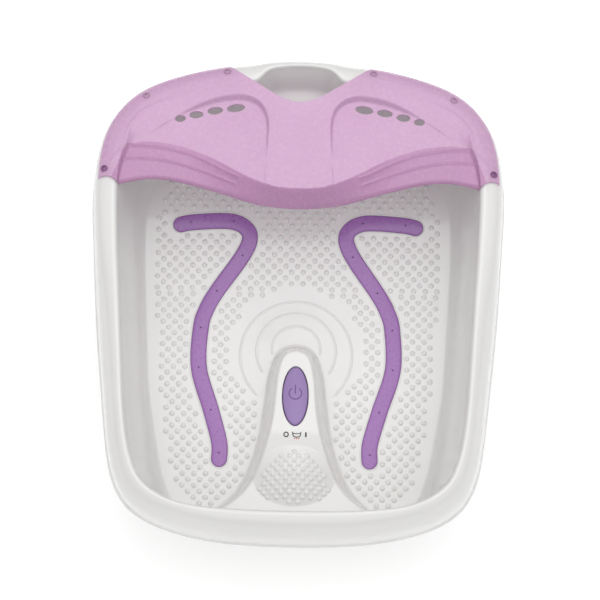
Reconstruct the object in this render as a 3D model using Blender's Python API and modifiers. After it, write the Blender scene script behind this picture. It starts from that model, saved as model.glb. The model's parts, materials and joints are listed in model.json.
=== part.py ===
"""A foot spa basin: a moulded tub with a footbed, two air strips, a toe button and a splash guard,
standing in a lower housing that holds the blower, heater, switch and air hoses.

Metres, +Z up, the spout and splash guard at +Y. The origin is on the ground under the middle of the object.
Run it with: blender --background --python part.py
"""

import math

import bmesh
import bpy
from mathutils import Matrix, Vector

# ---------------------------------------------------------------- driving dimensions
WALL = 0.0025  # moulded wall of tub and housing
GAP = 0.0004  # clearance between pieces that touch

CREST_Z = 0.175  # top of the rim
LIP_Z = 0.132  # foot of the tub's outer skirt
SPOUT_Z = 0.138  # ledge inside the pouring spout
HOUSING_TOP_Z = 0.1365
PLATE_Z = 0.006  # underside of the lower housing
# Housing section from its top: distance inside the lip's outline, and height.
HOUSING_SECTION = [(0.0105, HOUSING_TOP_Z), (0.020, 0.085), (0.0315, 0.016), (0.039, PLATE_Z)]

# Half outlines from the front middle to the back middle; each is mirrored in X and smoothed.
LIP = [(0, -0.214), (0.060, -0.2112), (0.104, -0.202), (0.133, -0.188), (0.149, -0.1685), (0.158, -0.139),
       (0.1655, -0.080), (0.172, -0.020), (0.177, 0.045), (0.180, 0.097), (0.1768, 0.1320), (0.1668, 0.1592),
       (0.1450, 0.1835), (0.110, 0.2000), (0.060, 0.2122), (0, 0.216)]
RIM_INNER = [(0, -0.192), (0.050, -0.191), (0.093, -0.186), (0.121, -0.1715), (0.134, -0.149),
             (0.1415, -0.110), (0.146, -0.055), (0.150, 0), (0.153, 0.040), (0.1555, 0.095), (0.152, 0.128),
             (0.140, 0.153), (0.118, 0.171), (0.080, 0.1835), (0.040, 0.1885), (0, 0.190)]
FLOOR_EDGE = [(0, -0.168), (0.060, -0.1675), (0.090, -0.163), (0.107, -0.152), (0.115, -0.134),
              (0.121, -0.110), (0.130, -0.057), (0.133, -0.017), (0.1365, 0.040), (0.1375, 0.090),
              (0.134, 0.120), (0.122, 0.142), (0.100, 0.156), (0.060, 0.1645), (0, 0.167)]
SPOUT_HALF_WIDTH = 0.034
SPOUT_BACK_Y = 0.204

# Rim section: share of the way from lip to inner edge, height at the sides and front, and height at the rear.
RIM_SECTION = [(0.0, LIP_Z, LIP_Z), (0.085, 0.136, 0.138), (0.13, 0.151, 0.159), (0.27, 0.1630, 0.1692),
               (0.44, 0.1690, 0.1728), (0.76, CREST_Z, CREST_Z), (1.0, 0.1715, 0.1715)]
# The rear section holds up to the first of these angles from the back middle, and the other one from the second.
RIM_BLEND_START, RIM_BLEND_END = math.radians(50), math.radians(78)
SPOUT_START_SHARE = 0.13  # share of the rim's section where it starts to run out to the spout

# Footbed: level in the middle, rising to the toes and falling to the heels.
FLOOR_Z = 0.053
TOE_START_Y, TOE_SLOPE = 0.045, math.tan(math.radians(12))
HEEL_START_Y, HEEL_SLOPE, HEEL_END_Y = -0.040, math.tan(math.radians(8)), -0.150
SLOPE_BLEND = 0.012
RING_CENTRE_Y, RING_RADIUS, RING_DOME = -0.015, 0.052, 0.003

# Console that carries the button, and the arch mound in front of it.
BUTTON_Y = -0.068
# Half outlines of its foot and of its top edge, from nose to front; its flank joins them.
CONSOLE_FOOT = [(0, -0.0120), (0.0110, -0.0146), (0.0185, -0.0215), (0.0255, -0.0385), (0.0292, -0.0580),
                (0.0318, -0.0760), (0.0345, -0.0930), (0.0385, -0.1110), (0.0445, -0.1290), (0.0535, -0.1450),
                (0.0670, -0.1580), (0.0860, -0.1700)]
CONSOLE_EDGE = [(0, -0.0300), (0.0078, -0.0328), (0.0118, -0.0420), (0.0136, -0.0560), (0.0146, -0.0740),
                (0.0163, -0.0900), (0.0192, -0.1040), (0.0235, -0.1180), (0.0290, -0.1320), (0.0360, -0.1460),
                (0.0470, -0.1580), (0.0640, -0.1700)]
CONSOLE_TOP_Z, CONSOLE_FRONT_Z = 0.088, 0.070
CONSOLE_DROP_Y, CONSOLE_DROP = -0.093, 0.055  # where its top starts to fall to the front, and over what length
MOUND_Y, MOUND_HALF_X, MOUND_HALF_Y, MOUND_RISE = -0.138, 0.036, 0.026, 0.011

BUTTON_HALF_X, BUTTON_HALF_Y = 0.0109, 0.0273
BUTTON_GAP = 0.0010
STEM_R = 0.0035

# Air strips: middle line of the right-hand one, from the toe end to the heel end.
STRIP_PATH = [(0.106, 0.0977), (0.097, 0.0996), (0.075, 0.1013), (0.0585, 0.1008), (0.0475, 0.0955),
              (0.0435, 0.0862), (0.0498, 0.0705), (0.0722, 0.038), (0.0815, 0.020), (0.0858, 0.003),
              (0.0864, -0.034), (0.0747, -0.072), (0.0668, -0.100), (0.0665, -0.1150)]
STRIP_HALF_WIDTH = 0.0068
STRIP_PROUD = 0.0008
AIR_HOLES = [(0.097, 0.0996), (0.0585, 0.1008), (0.0498, 0.0705), (0.0722, 0.038), (0.0858, 0.003),
             (0.0864, -0.034), (0.0747, -0.072), (0.0667, -0.1097)]
AIR_HOLE_R = 0.0008
CHANNEL_DEPTH, CHANNEL_WALL = 0.008, 0.0016
CHANNEL_GAP = 0.0012  # under the tub's floor, which leaves room between their facets
NIPPLE_XY, NIPPLE_LENGTH = (0.086, 0.1008), 0.009
HOSE_R = 0.0035
HOSE_ARCH = [(33, 0.044), (34.5, 0.078), (36.5, 0.104), (40, 0.113), (43.5, 0.104), (45, 0.078),
             (45, 0.050)]  # degrees about the pole, and height, where a hose runs between the walls

# Splash guard.
GUARD_T = 0.0022
GUARD_SEAT = 0.0014  # its height over the rim, which leaves room between their facets
GUARD_END_OUTER, GUARD_END_INNER = math.radians(46.2), math.radians(43.7)
GUARD_OUTER_SHARE, GUARD_INNER_SHARE = 0.30, 0.76  # of the rim's section, where it lies on the rim
GUARD_NOTCH = [(0, 0.170), (0.0174, 0.175), (0.033, 0.1847), (0.048, 0.1943), (0.0615, 0.2043)]
GUARD_FRONT = [(0, 0.0792), (0.027, 0.0811), (0.0423, 0.0840), (0.0572, 0.0880), (0.0720, 0.0919),
               (0.0869, 0.0953), (0.1047, 0.0988), (0.1196, 0.1001), (0.1314, 0.0993), (0.1431, 0.0970),
               (0.1548, 0.0936)]
GUARD_BAND = [(0, 0.0911), (0.0127, 0.0915), (0.0250, 0.0938), (0.0396, 0.0993), (0.0545, 0.1067),
              (0.0694, 0.1150), (0.0875, 0.1231), (0.1050, 0.1289), (0.1215, 0.1315), (0.1353, 0.1318),
              (0.1460, 0.1300)]
GUARD_DISH, GUARD_DROOP = 0.004, 0.016
VENTS = [(0.104, 0.1545, 0.0047, 0.0030), (0.0898, 0.1585, 0.0060, 0.0034), (0.0737, 0.1625, 0.0070, 0.0036),
         (0.0558, 0.1655, 0.0079, 0.0039)]  # x, y, half width, half height
VENT_TURN = math.radians(14)
GUARD_SCREWS = [(0.1668, 0.1048), (0.1334, 0.1735), (0.0637, 0.1975)]

# Lower housing and what stands in it.
FEET = [(0.092, -0.125), (0.108, 0.112)]
FOOT_R = 0.011
COLUMNS = [(0.086, -0.142), (0.112, -0.010), (0.078, 0.138)]
COLUMN_R = 0.0045
PILOT_R = 0.0021
GLAND = (0.0, 0.1845, 0.032)
MOTOR_Y = 0.100
VOLUTE_R = 0.040
VOLUTE_Z0, VOLUTE_Z1 = 0.0095, 0.031
VOLUTE_WALL = 0.0018
OUTLET_Y, OUTLET_Z, OUTLET_HALF, OUTLET_BORE_HALF = 0.020, 0.020, 0.0045, 0.0025
HEATER_Y = 0.022
BOARD_X, BOARD_Y, BOARD_Z, BOARD_T = (0.050, 0.090), (0.040, 0.068), 0.0125, 0.0016
LEAD_R = 0.0011

# Button, its tray and its switch, from the top down.
CAP_FOOT_Z = CONSOLE_TOP_Z - 0.0085
BUTTON_CROWN = 0.0016
FRAME_Z, FRAME_T = 0.0665, 0.0025
STEM_FOOT_Z = 0.0600
SWITCH_TOP_Z, SWITCH_FOOT_Z = 0.0540, 0.0360

# ---------------------------------------------------------------- sampling
SPAN_STEPS = 6  # smoothed points between two points of an outline
POLE = (0.0, BUTTON_Y)  # rays of the lofts start here
TUB_RAYS = 48
SPOUT_RAYS = (6.3, 7.9, 9.2, 12)  # degrees; these catch the corners of the spout
CONSOLE_RAYS = (138, 140.5, 144.5, 147, 152.5, 155)  # and these the spread of the console
WALL_SHARES = (0.22, 0.49, 0.76)  # of the way from the rim's inner edge to the floor's edge
GUARD_COLUMNS = 24
NOTCH_COLUMNS = (0.195, 0.215, 0.235, 0.27)  # extra columns where the notch crosses the rim's rounded edge
FLOOR_SHARES = (1, 0.80, 0.60, 0.40, 0.20, 0)  # of the way from the console to the floor's edge
# How the rings at the console's foot and top edge close across its front, where they only carry its height.
FRONT_RINGS = ([(0.0350, -0.1380), (0.0200, -0.1500), (0, -0.1530)],
               [(0.0260, -0.1220), (0.0170, -0.1320), (0, -0.1350)])
FLANK_SHARES = (0.5,)  # of the way from the console's top edge to its foot
CONSOLE_SHARES = (1, 0.62, 0.3, 0.08, 0)  # of the way from the button's well to the console's top edge

COLLECTION = "foot_spa_basin"


# ---------------------------------------------------------------- scene and materials
def clear_scene():
    for obj in list(bpy.data.objects):
        bpy.data.objects.remove(obj)


def make_collections():
    parts = bpy.data.collections.new(COLLECTION)
    cutters = bpy.data.collections.new("cutters")
    for made in (parts, cutters):
        bpy.context.scene.collection.children.link(made)
    cutters.hide_render = True
    return parts, cutters


def material(name, colour, roughness, metallic=0.0, alpha=1.0):
    made = bpy.data.materials.new(name)
    made.use_nodes = True
    shader = made.node_tree.nodes["Principled BSDF"]
    shader.inputs["Base Color"].default_value = (*colour, 1.0)
    shader.inputs["Roughness"].default_value = roughness
    shader.inputs["Metallic"].default_value = metallic
    shader.inputs["Alpha"].default_value = alpha
    return made


def make_materials():
    return {
        "shell": material("white_shell", (0.86, 0.86, 0.85), 0.25),
        "guard": material("lilac_guard", (0.80, 0.52, 0.74), 0.15, alpha=0.75),
        "strip": material("violet_strip", (0.36, 0.13, 0.50), 0.2),
        "button": material("violet_button", (0.42, 0.30, 0.60), 0.4),
        "rubber": material("grey_rubber", (0.12, 0.12, 0.12), 0.8),
        "steel": material("zinc_steel", (0.62, 0.62, 0.63), 0.3, 1.0),
        "pin": material("violet_screw", (0.35, 0.16, 0.36), 0.35),
        "nylon": material("natural_nylon", (0.72, 0.70, 0.64), 0.5),
        "black": material("black_plastic", (0.03, 0.03, 0.03), 0.45),
        "aluminium": material("aluminium", (0.78, 0.78, 0.79), 0.35, 1.0),
        "copper": material("armature", (0.55, 0.27, 0.12), 0.4, 1.0),
        "bronze": material("bronze_bush", (0.60, 0.42, 0.20), 0.4, 1.0),
        "hose": material("clear_hose", (0.75, 0.77, 0.78), 0.3),
        "board": material("circuit_board", (0.05, 0.25, 0.10), 0.5),
        "red_lead": material("red_lead", (0.55, 0.05, 0.04), 0.45),
        "silicone": material("silicone_heater", (0.75, 0.40, 0.12), 0.6),
    }


# ---------------------------------------------------------------- curves and heights
def spline(points, steps, closed=False):
    """Catmull-Rom curve through points of any dimension."""
    points = [Vector(p) for p in points]
    count = len(points)
    spans = count if closed else count - 1
    found = []
    for span in range(spans):
        near = [span + k for k in (-1, 0, 1, 2)]
        near = [k % count if closed else min(max(k, 0), count - 1) for k in near]
        a, b, c, d = (points[k] for k in near)
        for step in range(steps):
            t = step / steps
            found.append(0.5 * (2 * b + (c - a) * t + (2 * a - 5 * b + 4 * c - d) * t * t
                                + (3 * b - a - 3 * c + d) * t * t * t))
    if not closed:
        found.append(points[-1])
    return found


def loop_of(half):
    """Smooth closed outline from a half outline, mirrored in X."""
    mirrored = [(-x, y) for x, y in reversed(half[1:-1])]
    return spline([*half, *mirrored], SPAN_STEPS, closed=True)


def reach(loop, angle):
    """How far the outline is from POLE along the ray at angle (0 towards +Y, positive towards +X)."""
    dx, dy = math.sin(angle), math.cos(angle)
    pole = Vector(POLE)
    best = 0.0
    for first, second in zip(loop, loop[1:] + loop[:1]):
        a, b = first - pole, second - pole
        side_a, side_b = a.x * dy - a.y * dx, b.x * dy - b.y * dx
        if side_a * side_b <= 0 and side_a != side_b:
            hit = a.lerp(b, side_a / (side_a - side_b))
            best = max(best, hit.x * dx + hit.y * dy)
    return best


def polar_curve(points, angle):
    """Radius at an angle of an open, mirrored curve whose points start at x = 0; None past its end."""
    points = spline(points, SPAN_STEPS)
    polar = [(math.atan2(x, y - POLE[1]), math.hypot(x, y - POLE[1])) for x, y in points]
    angle = abs(angle)
    for (a0, r0), (a1, r1) in zip(polar, polar[1:]):
        if a0 <= angle <= a1:
            return r0 + (r1 - r0) * (angle - a0) / (a1 - a0)
    return None


def at(radius, angle, z):
    return Vector((POLE[0] + radius * math.sin(angle), POLE[1] + radius * math.cos(angle), z))


def smooth(t):
    t = min(max(t, 0.0), 1.0)
    return t * t * (3 - 2 * t)


def soft(x):
    """max(x, 0) with a rounded corner."""
    return (x + math.sqrt(x * x + SLOPE_BLEND ** 2)) / 2


def half_width(half, y):
    """Half width at y of an outline that runs from its nose to the front; negative beyond its nose."""
    for (x0, y0), (x1, y1) in zip(half, half[1:]):
        if y0 >= y >= y1:
            return x0 + (x1 - x0) * (y0 - y) / (y0 - y1)
    return -1.0 if y > half[0][1] else half[-1][0]


def distance_to(half, x, y):
    """Distance from a point to an outline."""
    best = math.inf
    for (ax, ay), (bx, by) in zip(half, half[1:]):
        dx, dy = bx - ax, by - ay
        t = min(max(((x - ax) * dx + (y - ay) * dy) / (dx * dx + dy * dy), 0.0), 1.0)
        best = min(best, math.hypot(x - ax - t * dx, y - ay - t * dy))
    return best


def console_share(x, y):
    """0 outside the console's foot, 1 on its top, and between them on its flank."""
    x = abs(x)
    if x >= half_width(CONSOLE_FOOT, y):
        return 0.0
    if x <= half_width(CONSOLE_EDGE, y):
        return 1.0
    to_foot, to_top = distance_to(CONSOLE_FOOT, x, y), distance_to(CONSOLE_EDGE, x, y)
    return to_foot / (to_foot + to_top)


def bed_height(x, y):
    """Top of the footbed, which slopes to the heels and toes and has a low dome under the rings."""
    heel_run = min(soft(HEEL_START_Y - y), HEEL_START_Y - HEEL_END_Y)
    z = FLOOR_Z + soft(y - TOE_START_Y) * TOE_SLOPE - heel_run * HEEL_SLOPE
    ring = min(math.hypot(x, y - RING_CENTRE_Y) / RING_RADIUS, 1)
    return z + RING_DOME * (1 - ring ** 2) ** 2


def console_height(x, y):
    """Top of the console, which falls to the front and carries the mound."""
    z = CONSOLE_TOP_Z + (CONSOLE_FRONT_Z - CONSOLE_TOP_Z) * smooth((CONSOLE_DROP_Y - y) / CONSOLE_DROP)
    mound = (x / MOUND_HALF_X) ** 2 + ((y - MOUND_Y) / MOUND_HALF_Y) ** 2
    return z + MOUND_RISE * max(0.0, 1 - mound)


def floor_height(x, y):
    """Footbed, or console where it stands on it."""
    share = smooth(console_share(x, y))
    return bed_height(x, y) * (1 - share) + console_height(x, y) * share


def rim_section(angle):
    """Shares and heights of the rim's section on the ray at an angle."""
    rear = smooth((RIM_BLEND_END - abs(angle)) / (RIM_BLEND_END - RIM_BLEND_START))
    return [(share, side + (back - side) * rear) for share, side, back in RIM_SECTION]


def rim_height(share, angle):
    """Height of the rim's top surface, by share of the way from lip to inner edge."""
    section = rim_section(angle)
    for (s0, z0), (s1, z1) in zip(section, section[1:]):
        if share <= s1:
            return z0 + (z1 - z0) * (share - s0) / (s1 - s0)
    return section[-1][1]


def rays(count, extra=()):
    """Angles all round, and some extra ones on both sides."""
    angles = {math.tau * i / count - math.pi for i in range(count)}
    for degrees in extra:
        angles |= {math.radians(degrees), -math.radians(degrees)}
    return sorted(angles)


# ---------------------------------------------------------------- mesh helpers
class Builder:
    """Puts pieces in the part's collection and cutters in theirs."""

    def __init__(self):
        self.parts, self.cutters = make_collections()
        self.materials = make_materials()

    def add(self, name, data, slot, location=(0, 0, 0), smooth_angle=35):
        obj = bpy.data.objects.new(name, data)
        self.parts.objects.link(obj)
        obj.location = location
        data.materials.append(self.materials[slot])
        if isinstance(data, bpy.types.Mesh):
            data.shade_smooth()
            data.set_sharp_from_angle(angle=math.radians(smooth_angle))
        return obj

    def cutter(self, name, data, location=(0, 0, 0)):
        obj = bpy.data.objects.new(name, data)
        self.cutters.objects.link(obj)
        obj.location = location
        obj.hide_render = True
        obj.display_type = "WIRE"
        return obj


def mesh_from(bm, name):
    data = bpy.data.meshes.new(name)
    bm.to_mesh(data)
    bm.free()
    return data


def loft(rings, outward_down=False, closed=True, cap_first=False, cap_last=False):
    """Quads between rings of equal length. The rings run inwards with their faces up, or down if asked."""
    bm = bmesh.new()
    rows = [[bm.verts.new(p) for p in ring] for ring in rings]
    count = len(rows[0])
    for near, far in zip(rows, rows[1:]):
        for i in range(count if closed else count - 1):
            j = (i + 1) % count
            corners = [near[i], far[i], far[j], near[j]]
            bm.faces.new(reversed(corners) if outward_down else corners)
    for wanted, row in ((cap_first, rows[0]), (cap_last, rows[-1])):
        if wanted:
            middle = bm.verts.new(sum((v.co for v in row), Vector()) / count)
            for i in range(count):
                corners = [row[i], middle, row[(i + 1) % count]]
                bm.faces.new(reversed(corners) if outward_down else corners)
    return bm


def add_cylinder(bm, x, y, radius, z0, z1, segments=12):
    place = Matrix.Translation((x, y, (z0 + z1) / 2))
    bmesh.ops.create_cone(bm, cap_ends=True, segments=segments, radius1=radius, radius2=radius,
                          depth=z1 - z0, matrix=place)


def add_box(bm, low, high):
    low, high = Vector(low), Vector(high)
    place = Matrix.Translation((low + high) / 2) @ Matrix.Diagonal((*(high - low), 1))
    bmesh.ops.create_cube(bm, size=1, matrix=place)


def cylinders(name, items, segments=12):
    """One mesh of separate upright cylinders, each (x, y, radius, z0, z1)."""
    bm = bmesh.new()
    for item in items:
        add_cylinder(bm, *item, segments)
    return mesh_from(bm, name)


def boxes(name, items):
    bm = bmesh.new()
    for low, high in items:
        add_box(bm, low, high)
    return mesh_from(bm, name)


def boolean(obj, other, operation):
    modifier = obj.modifiers.new(f"{operation.lower()}_{other.name}", "BOOLEAN")
    modifier.operation = operation
    modifier.solver = "EXACT"
    modifier.object = other
    return modifier


def solidify(obj, thickness, offset):
    modifier = obj.modifiers.new("wall", "SOLIDIFY")
    modifier.thickness = thickness
    modifier.offset = offset
    modifier.use_even_offset = True


def turned(build, name, profile, slot, location, steps=16, tilt=None, ring=False):
    """Solid of revolution about Z. Its (radius, z) points run down the outer side; ring closes the profile."""
    data = bpy.data.meshes.new(name)
    edges = [(i, i + 1) for i in range(len(profile) - 1)]
    if ring:
        edges.append((len(profile) - 1, 0))
    data.from_pydata([(r, 0, z) for r, z in profile], edges, [])
    obj = build.add(name, data, slot, location)
    screw = obj.modifiers.new("turn", "SCREW")
    screw.steps = screw.render_steps = steps
    screw.use_merge_vertices = True
    screw.merge_threshold = 0.00001
    screw.use_smooth_shade = True
    if tilt:
        obj.rotation_euler = tilt
    return obj


def tube(build, name, route, radius, slot, steps=4, resolution=1):
    """Round hose or lead along a smooth curve through the route's points."""
    points = spline(route, steps)
    data = bpy.data.curves.new(name, "CURVE")
    data.dimensions = "3D"
    data.bevel_depth = radius
    data.bevel_resolution = resolution
    data.use_fill_caps = True
    line = data.splines.new("POLY")
    line.points.add(len(points) - 1)
    for point, co in zip(line.points, points):
        point.co = (*co, 1)
    return build.add(name, data, slot)


def ellipse(half_x, half_y, count):
    turns = [math.tau * i / count for i in range(count)]
    return [(half_x * math.cos(a), half_y * math.sin(a)) for a in turns]


def facing_up(outline):
    """The outline's points in anticlockwise order."""
    area = sum(x0 * y1 - x1 * y0 for (x0, y0), (x1, y1) in zip(outline, outline[1:] + outline[:1]))
    return outline if area > 0 else outline[::-1]


def prism(name, outline, z0, z1, centre=(0, 0), crown=0.0, shrink=0.8):
    """Upright prism of an anticlockwise outline; a crown domes its top."""
    low = [Vector((centre[0] + x, centre[1] + y, z0)) for x, y in outline]
    high = [Vector((p.x, p.y, z1)) for p in low]
    rings = [low, high]
    if crown:
        middle = Vector((*centre, z1 + crown))
        rings.append([middle.lerp(p, shrink) + Vector((0, 0, crown * (1 - shrink) * 2)) for p in high])
    bm = loft(rings, cap_first=True, cap_last=True)
    bmesh.ops.recalc_face_normals(bm, faces=bm.faces)
    return mesh_from(bm, name)


# ---------------------------------------------------------------- ribbons that follow the footbed
def strip_line(steps=2):
    return [Vector(p) for p in spline(STRIP_PATH, steps)]


def ribbon(name, line, half_width, top, bottom, side, extend=0.0):
    """Band along a line with round ends. Its top and bottom are offsets from the floor; side is 1 or -1."""
    head = line[0] + (line[0] - line[1]).normalized() * (half_width + extend)
    tail = line[-1] + (line[-1] - line[-2]).normalized() * (half_width + extend)
    start = [head.lerp(line[0], t) for t in (0.04, 0.3, 0.65)]
    end = [tail.lerp(line[-1], t) for t in (0.65, 0.3, 0.04)]
    middle = [*start, *line, *end]
    rows = []
    for i, p in enumerate(middle):
        along = (middle[min(i + 1, len(middle) - 1)] - middle[max(i - 1, 0)]).normalized()
        across = Vector((-along.y, along.x))
        to_end = min((p - head).length, (p - tail).length)
        inset = max(0.0, 1 - to_end / half_width)
        wide = half_width * math.sqrt(max(0.0, 1 - inset ** 2))
        section = []
        for share, level in ((-1, bottom), (-1, top), (0, top), (1, top), (1, bottom)):
            q = p + across * wide * share
            section.append(Vector((side * q.x, q.y, floor_height(q.x, q.y) + level)))
        rows.append(section)
    bm = loft(rows, cap_first=True, cap_last=True)
    bmesh.ops.recalc_face_normals(bm, faces=bm.faces)
    return mesh_from(bm, name)


# ---------------------------------------------------------------- tub
def spout_outline():
    """RIM_INNER with the pouring spout let into its back."""
    half = RIM_INNER[:-2]
    corner = SPOUT_HALF_WIDTH
    half = [*half, (corner + 0.026, 0.1865), (corner + 0.014, 0.1878), (corner + 0.006, 0.1892),
            (corner, 0.1938), (corner - 0.004, 0.1990), (corner - 0.010, 0.2025),
            (corner - 0.018, SPOUT_BACK_Y), (0.007, SPOUT_BACK_Y + 0.001), (0, SPOUT_BACK_Y + 0.001)]
    return loop_of(half)


def button_reach(angle, gap=0.0):
    """Reach of the button's outline about POLE: an ellipse, grown by a gap."""
    half_x, half_y = BUTTON_HALF_X + gap, BUTTON_HALF_Y + gap
    return 1 / math.hypot(math.sin(angle) / half_x, math.cos(angle) / half_y)


def rim_radius(share, lip, inner, spout):
    """Reach of a point of the rim's section, whose inner part runs out to the spout where there is one."""
    run = max(0.0, share - SPOUT_START_SHARE) / (1 - SPOUT_START_SHARE)
    return lip + (inner - lip) * share + (spout - inner) * run


def tub_rings():
    """Upper face of the tub: over the rim, down the wall and over the footbed to the button's well."""
    angles = rays(TUB_RAYS, SPOUT_RAYS + CONSOLE_RAYS)
    outlines = (loop_of(LIP), loop_of(RIM_INNER), spout_outline(), loop_of(FLOOR_EDGE),
                loop_of([*CONSOLE_FOOT[:8], *FRONT_RINGS[0]]), loop_of([*CONSOLE_EDGE[:8], *FRONT_RINGS[1]]))
    reaches = [[reach(outline, a) for outline in outlines] for a in angles]
    rings = []
    for k, (share, *_) in enumerate(RIM_SECTION):
        rings.append([at(rim_radius(share, lip, inner, spout), a, rim_section(a)[k][1])
                      for a, (lip, inner, spout, *_) in zip(angles, reaches)])
    rings.append([at(spout - 0.002, a, SPOUT_Z + (0.004 if spout > inner + 0.004 else 0))
                  for a, (_, inner, spout, *_) in zip(angles, reaches)])
    rings += wall_rings(angles, reaches)
    return rings + floor_rings(angles, reaches)


def floor_rings(angles, reaches):
    """The footbed, the console's flank and top, and the edge of the button's well."""
    rings = [[] for _ in range(len(FLOOR_SHARES) + len(FLANK_SHARES) + len(CONSOLE_SHARES))]
    for a, (_, _, _, edge, foot, top) in zip(angles, reaches):
        foot = min(foot, edge - 0.003)
        top = min(top, foot - 0.003)
        well = button_reach(a, BUTTON_GAP)
        stops = [foot + (edge - foot) * share for share in FLOOR_SHARES]
        stops += [top + (foot - top) * share for share in FLANK_SHARES]
        stops += [well + (max(top, well + 0.001) - well) * share for share in CONSOLE_SHARES]
        for ring, radius in zip(rings, stops):
            ring.append(on_floor(radius, a))
    return rings


def on_floor(radius, angle, height=floor_height):
    p = at(radius, angle, 0)
    return Vector((p.x, p.y, height(p.x, p.y)))


def wall_rings(angles, reaches):
    """The basin's wall, and the fillet at its foot."""
    feet = [on_floor(edge, a).z for a, (_, _, _, edge, _, _) in zip(angles, reaches)]
    rings = []
    for share in WALL_SHARES:
        t = (share - WALL_SHARES[0]) / (WALL_SHARES[-1] - WALL_SHARES[0])
        high = SPOUT_Z - 0.004
        rings.append([at(inner + (edge - inner) * share, a, high + (foot + 0.014 - high) * (0.1 + 0.9 * t))
                      for a, foot, (_, inner, _, edge, _, _) in zip(angles, feet, reaches)])
    rings.append([at(inner + (edge - inner) * 0.88, a, foot + 0.0045)
                  for a, foot, (_, inner, _, edge, _, _) in zip(angles, feet, reaches)])
    return rings


def seat_on_rim(x, y):
    """Placement on the rim's top surface at (x, y), with Z along its normal."""
    a, r = math.atan2(x - POLE[0], y - POLE[1]), math.hypot(x - POLE[0], y - POLE[1])
    lip, inner = reach(loop_of(LIP), a), reach(loop_of(RIM_INNER), a)
    step = 0.002
    low, middle, high = (rim_height((lip - r + k * step) / (lip - inner), a) for k in (-1, 0, 1))
    tilt = math.atan2(high - low, 2 * step)
    return (Matrix.Translation((x, y, middle)) @ Matrix.Rotation(-a, 4, "Z") @ Matrix.Rotation(-tilt, 4, "X"))


def rim_cylinders(name, radius, low, high, segments=10):
    """Cylinders at the guard's screws, along the rim's normal."""
    bm = bmesh.new()
    for side in (1, -1):
        for x, y in GUARD_SCREWS:
            place = seat_on_rim(side * x, y) @ Matrix.Translation((0, 0, (low + high) / 2))
            bmesh.ops.create_cone(bm, cap_ends=True, segments=segments, radius1=radius, radius2=radius,
                                  depth=high - low, matrix=place)
    return mesh_from(bm, name)


def make_tub(build):
    tub = build.add("tub", mesh_from(loft(tub_rings()), "tub"), "shell")
    solidify(tub, WALL, -1)
    foot = PLATE_Z + WALL + GAP
    bosses, drills = [], []
    for side, x, y in [(side, x, y) for side in (1, -1) for x, y in COLUMNS]:
        bosses.append((side * x, y, COLUMN_R, foot, floor_height(x, y) - WALL / 2))
        drills.append((side * x, y, PILOT_R, 0, 0.026))
    boolean(tub, build.cutter("tub_bosses", cylinders("tub_bosses", bosses)), "UNION")
    bosses = rim_cylinders("rim_bosses", 0.0036, -0.014, -0.0015)
    boolean(tub, build.cutter("rim_bosses", bosses), "UNION")
    boolean(tub, build.cutter("tub_pilots", cylinders("tub_pilots", drills, 8)), "DIFFERENCE")
    pilots = rim_cylinders("rim_pilots", 0.0019, -0.020, 0.006, 8)
    boolean(tub, build.cutter("rim_pilots", pilots), "DIFFERENCE")
    for side, hand in ((1, "right"), (-1, "left")):
        slot = ribbon(f"strip_slot_{hand}", strip_line(), STRIP_HALF_WIDTH + GAP, 0.010, -0.010, side)
        boolean(tub, build.cutter(f"strip_slot_{hand}", slot), "DIFFERENCE")


# ---------------------------------------------------------------- lower housing and feet
def make_housing(build):
    lip = loop_of(LIP)
    angles = rays(TUB_RAYS)
    rings = [[at(reach(lip, a) - inset, a, z) for a in angles] for inset, z in HOUSING_SECTION]
    data = mesh_from(loft(rings, cap_last=True, outward_down=True), "lower_housing")
    housing = build.add("lower_housing", data, "shell")
    solidify(housing, WALL, -1)
    drills = [(side * x, y, PILOT_R, 0, 0.012) for side in (1, -1) for x, y in COLUMNS]
    boolean(housing, build.cutter("housing_drills", cylinders("housing_drills", drills, 8)), "DIFFERENCE")
    slots = []
    for k in range(-3, 4):
        half = 0.019 - 0.0016 * abs(k)
        y = MOTOR_Y + 0.0062 * k
        slots.append(((-half, y - 0.0015, 0.002), (half, y + 0.0015, PLATE_Z + WALL + 0.0007)))
    boolean(housing, build.cutter("intake_slots", boxes("intake_slots", slots)), "DIFFERENCE")
    gland_hole = cylinders("gland_hole", [(0, 0, 0.0062, -0.012, 0.012)], 16)
    hole = build.cutter("gland_hole", gland_hole, GLAND)
    hole.rotation_euler = (math.radians(90), 0, 0)
    boolean(housing, hole, "DIFFERENCE")


def make_gland(build):
    """Bush that the mains lead would pass through, in the housing's back wall."""
    profile = [(0.0088, 0.0070), (0.0088, 0.0042), (0.0058, 0.0042), (0.0058, -0.0085), (0.0036, -0.0085),
               (0.0036, 0.0070)]
    turned(build, "cord_gland", profile, "rubber", GLAND, 16,
           (math.radians(-90), 0, 0), ring=True)


def make_feet(build):
    for (x, y), end in zip(FEET, ("front", "rear")):
        for side, hand in ((1, "right"), (-1, "left")):
            profile = [(0, PLATE_Z - GAP), (FOOT_R, PLATE_Z - GAP), (FOOT_R, 0.0015), (FOOT_R - 0.0015, 0),
                       (0, 0)]
            turned(build, f"foot_{end}_{hand}", profile, "rubber", (side * x, y, 0), 20)


def make_base_screws(build):
    head = PLATE_Z - GAP
    profile = [(0, 0.021), (0.0016, 0.021), (0.0016, head), (0.0036, head), (0.0036, head - 0.0012),
               (0.0022, head - 0.0022), (0, head - 0.0022)]
    for (x, y), place in zip(COLUMNS, ("front", "middle", "rear")):
        for side, hand in ((1, "right"), (-1, "left")):
            turned(build, f"base_screw_{place}_{hand}", profile, "steel", (side * x, y, 0), 10)


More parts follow.
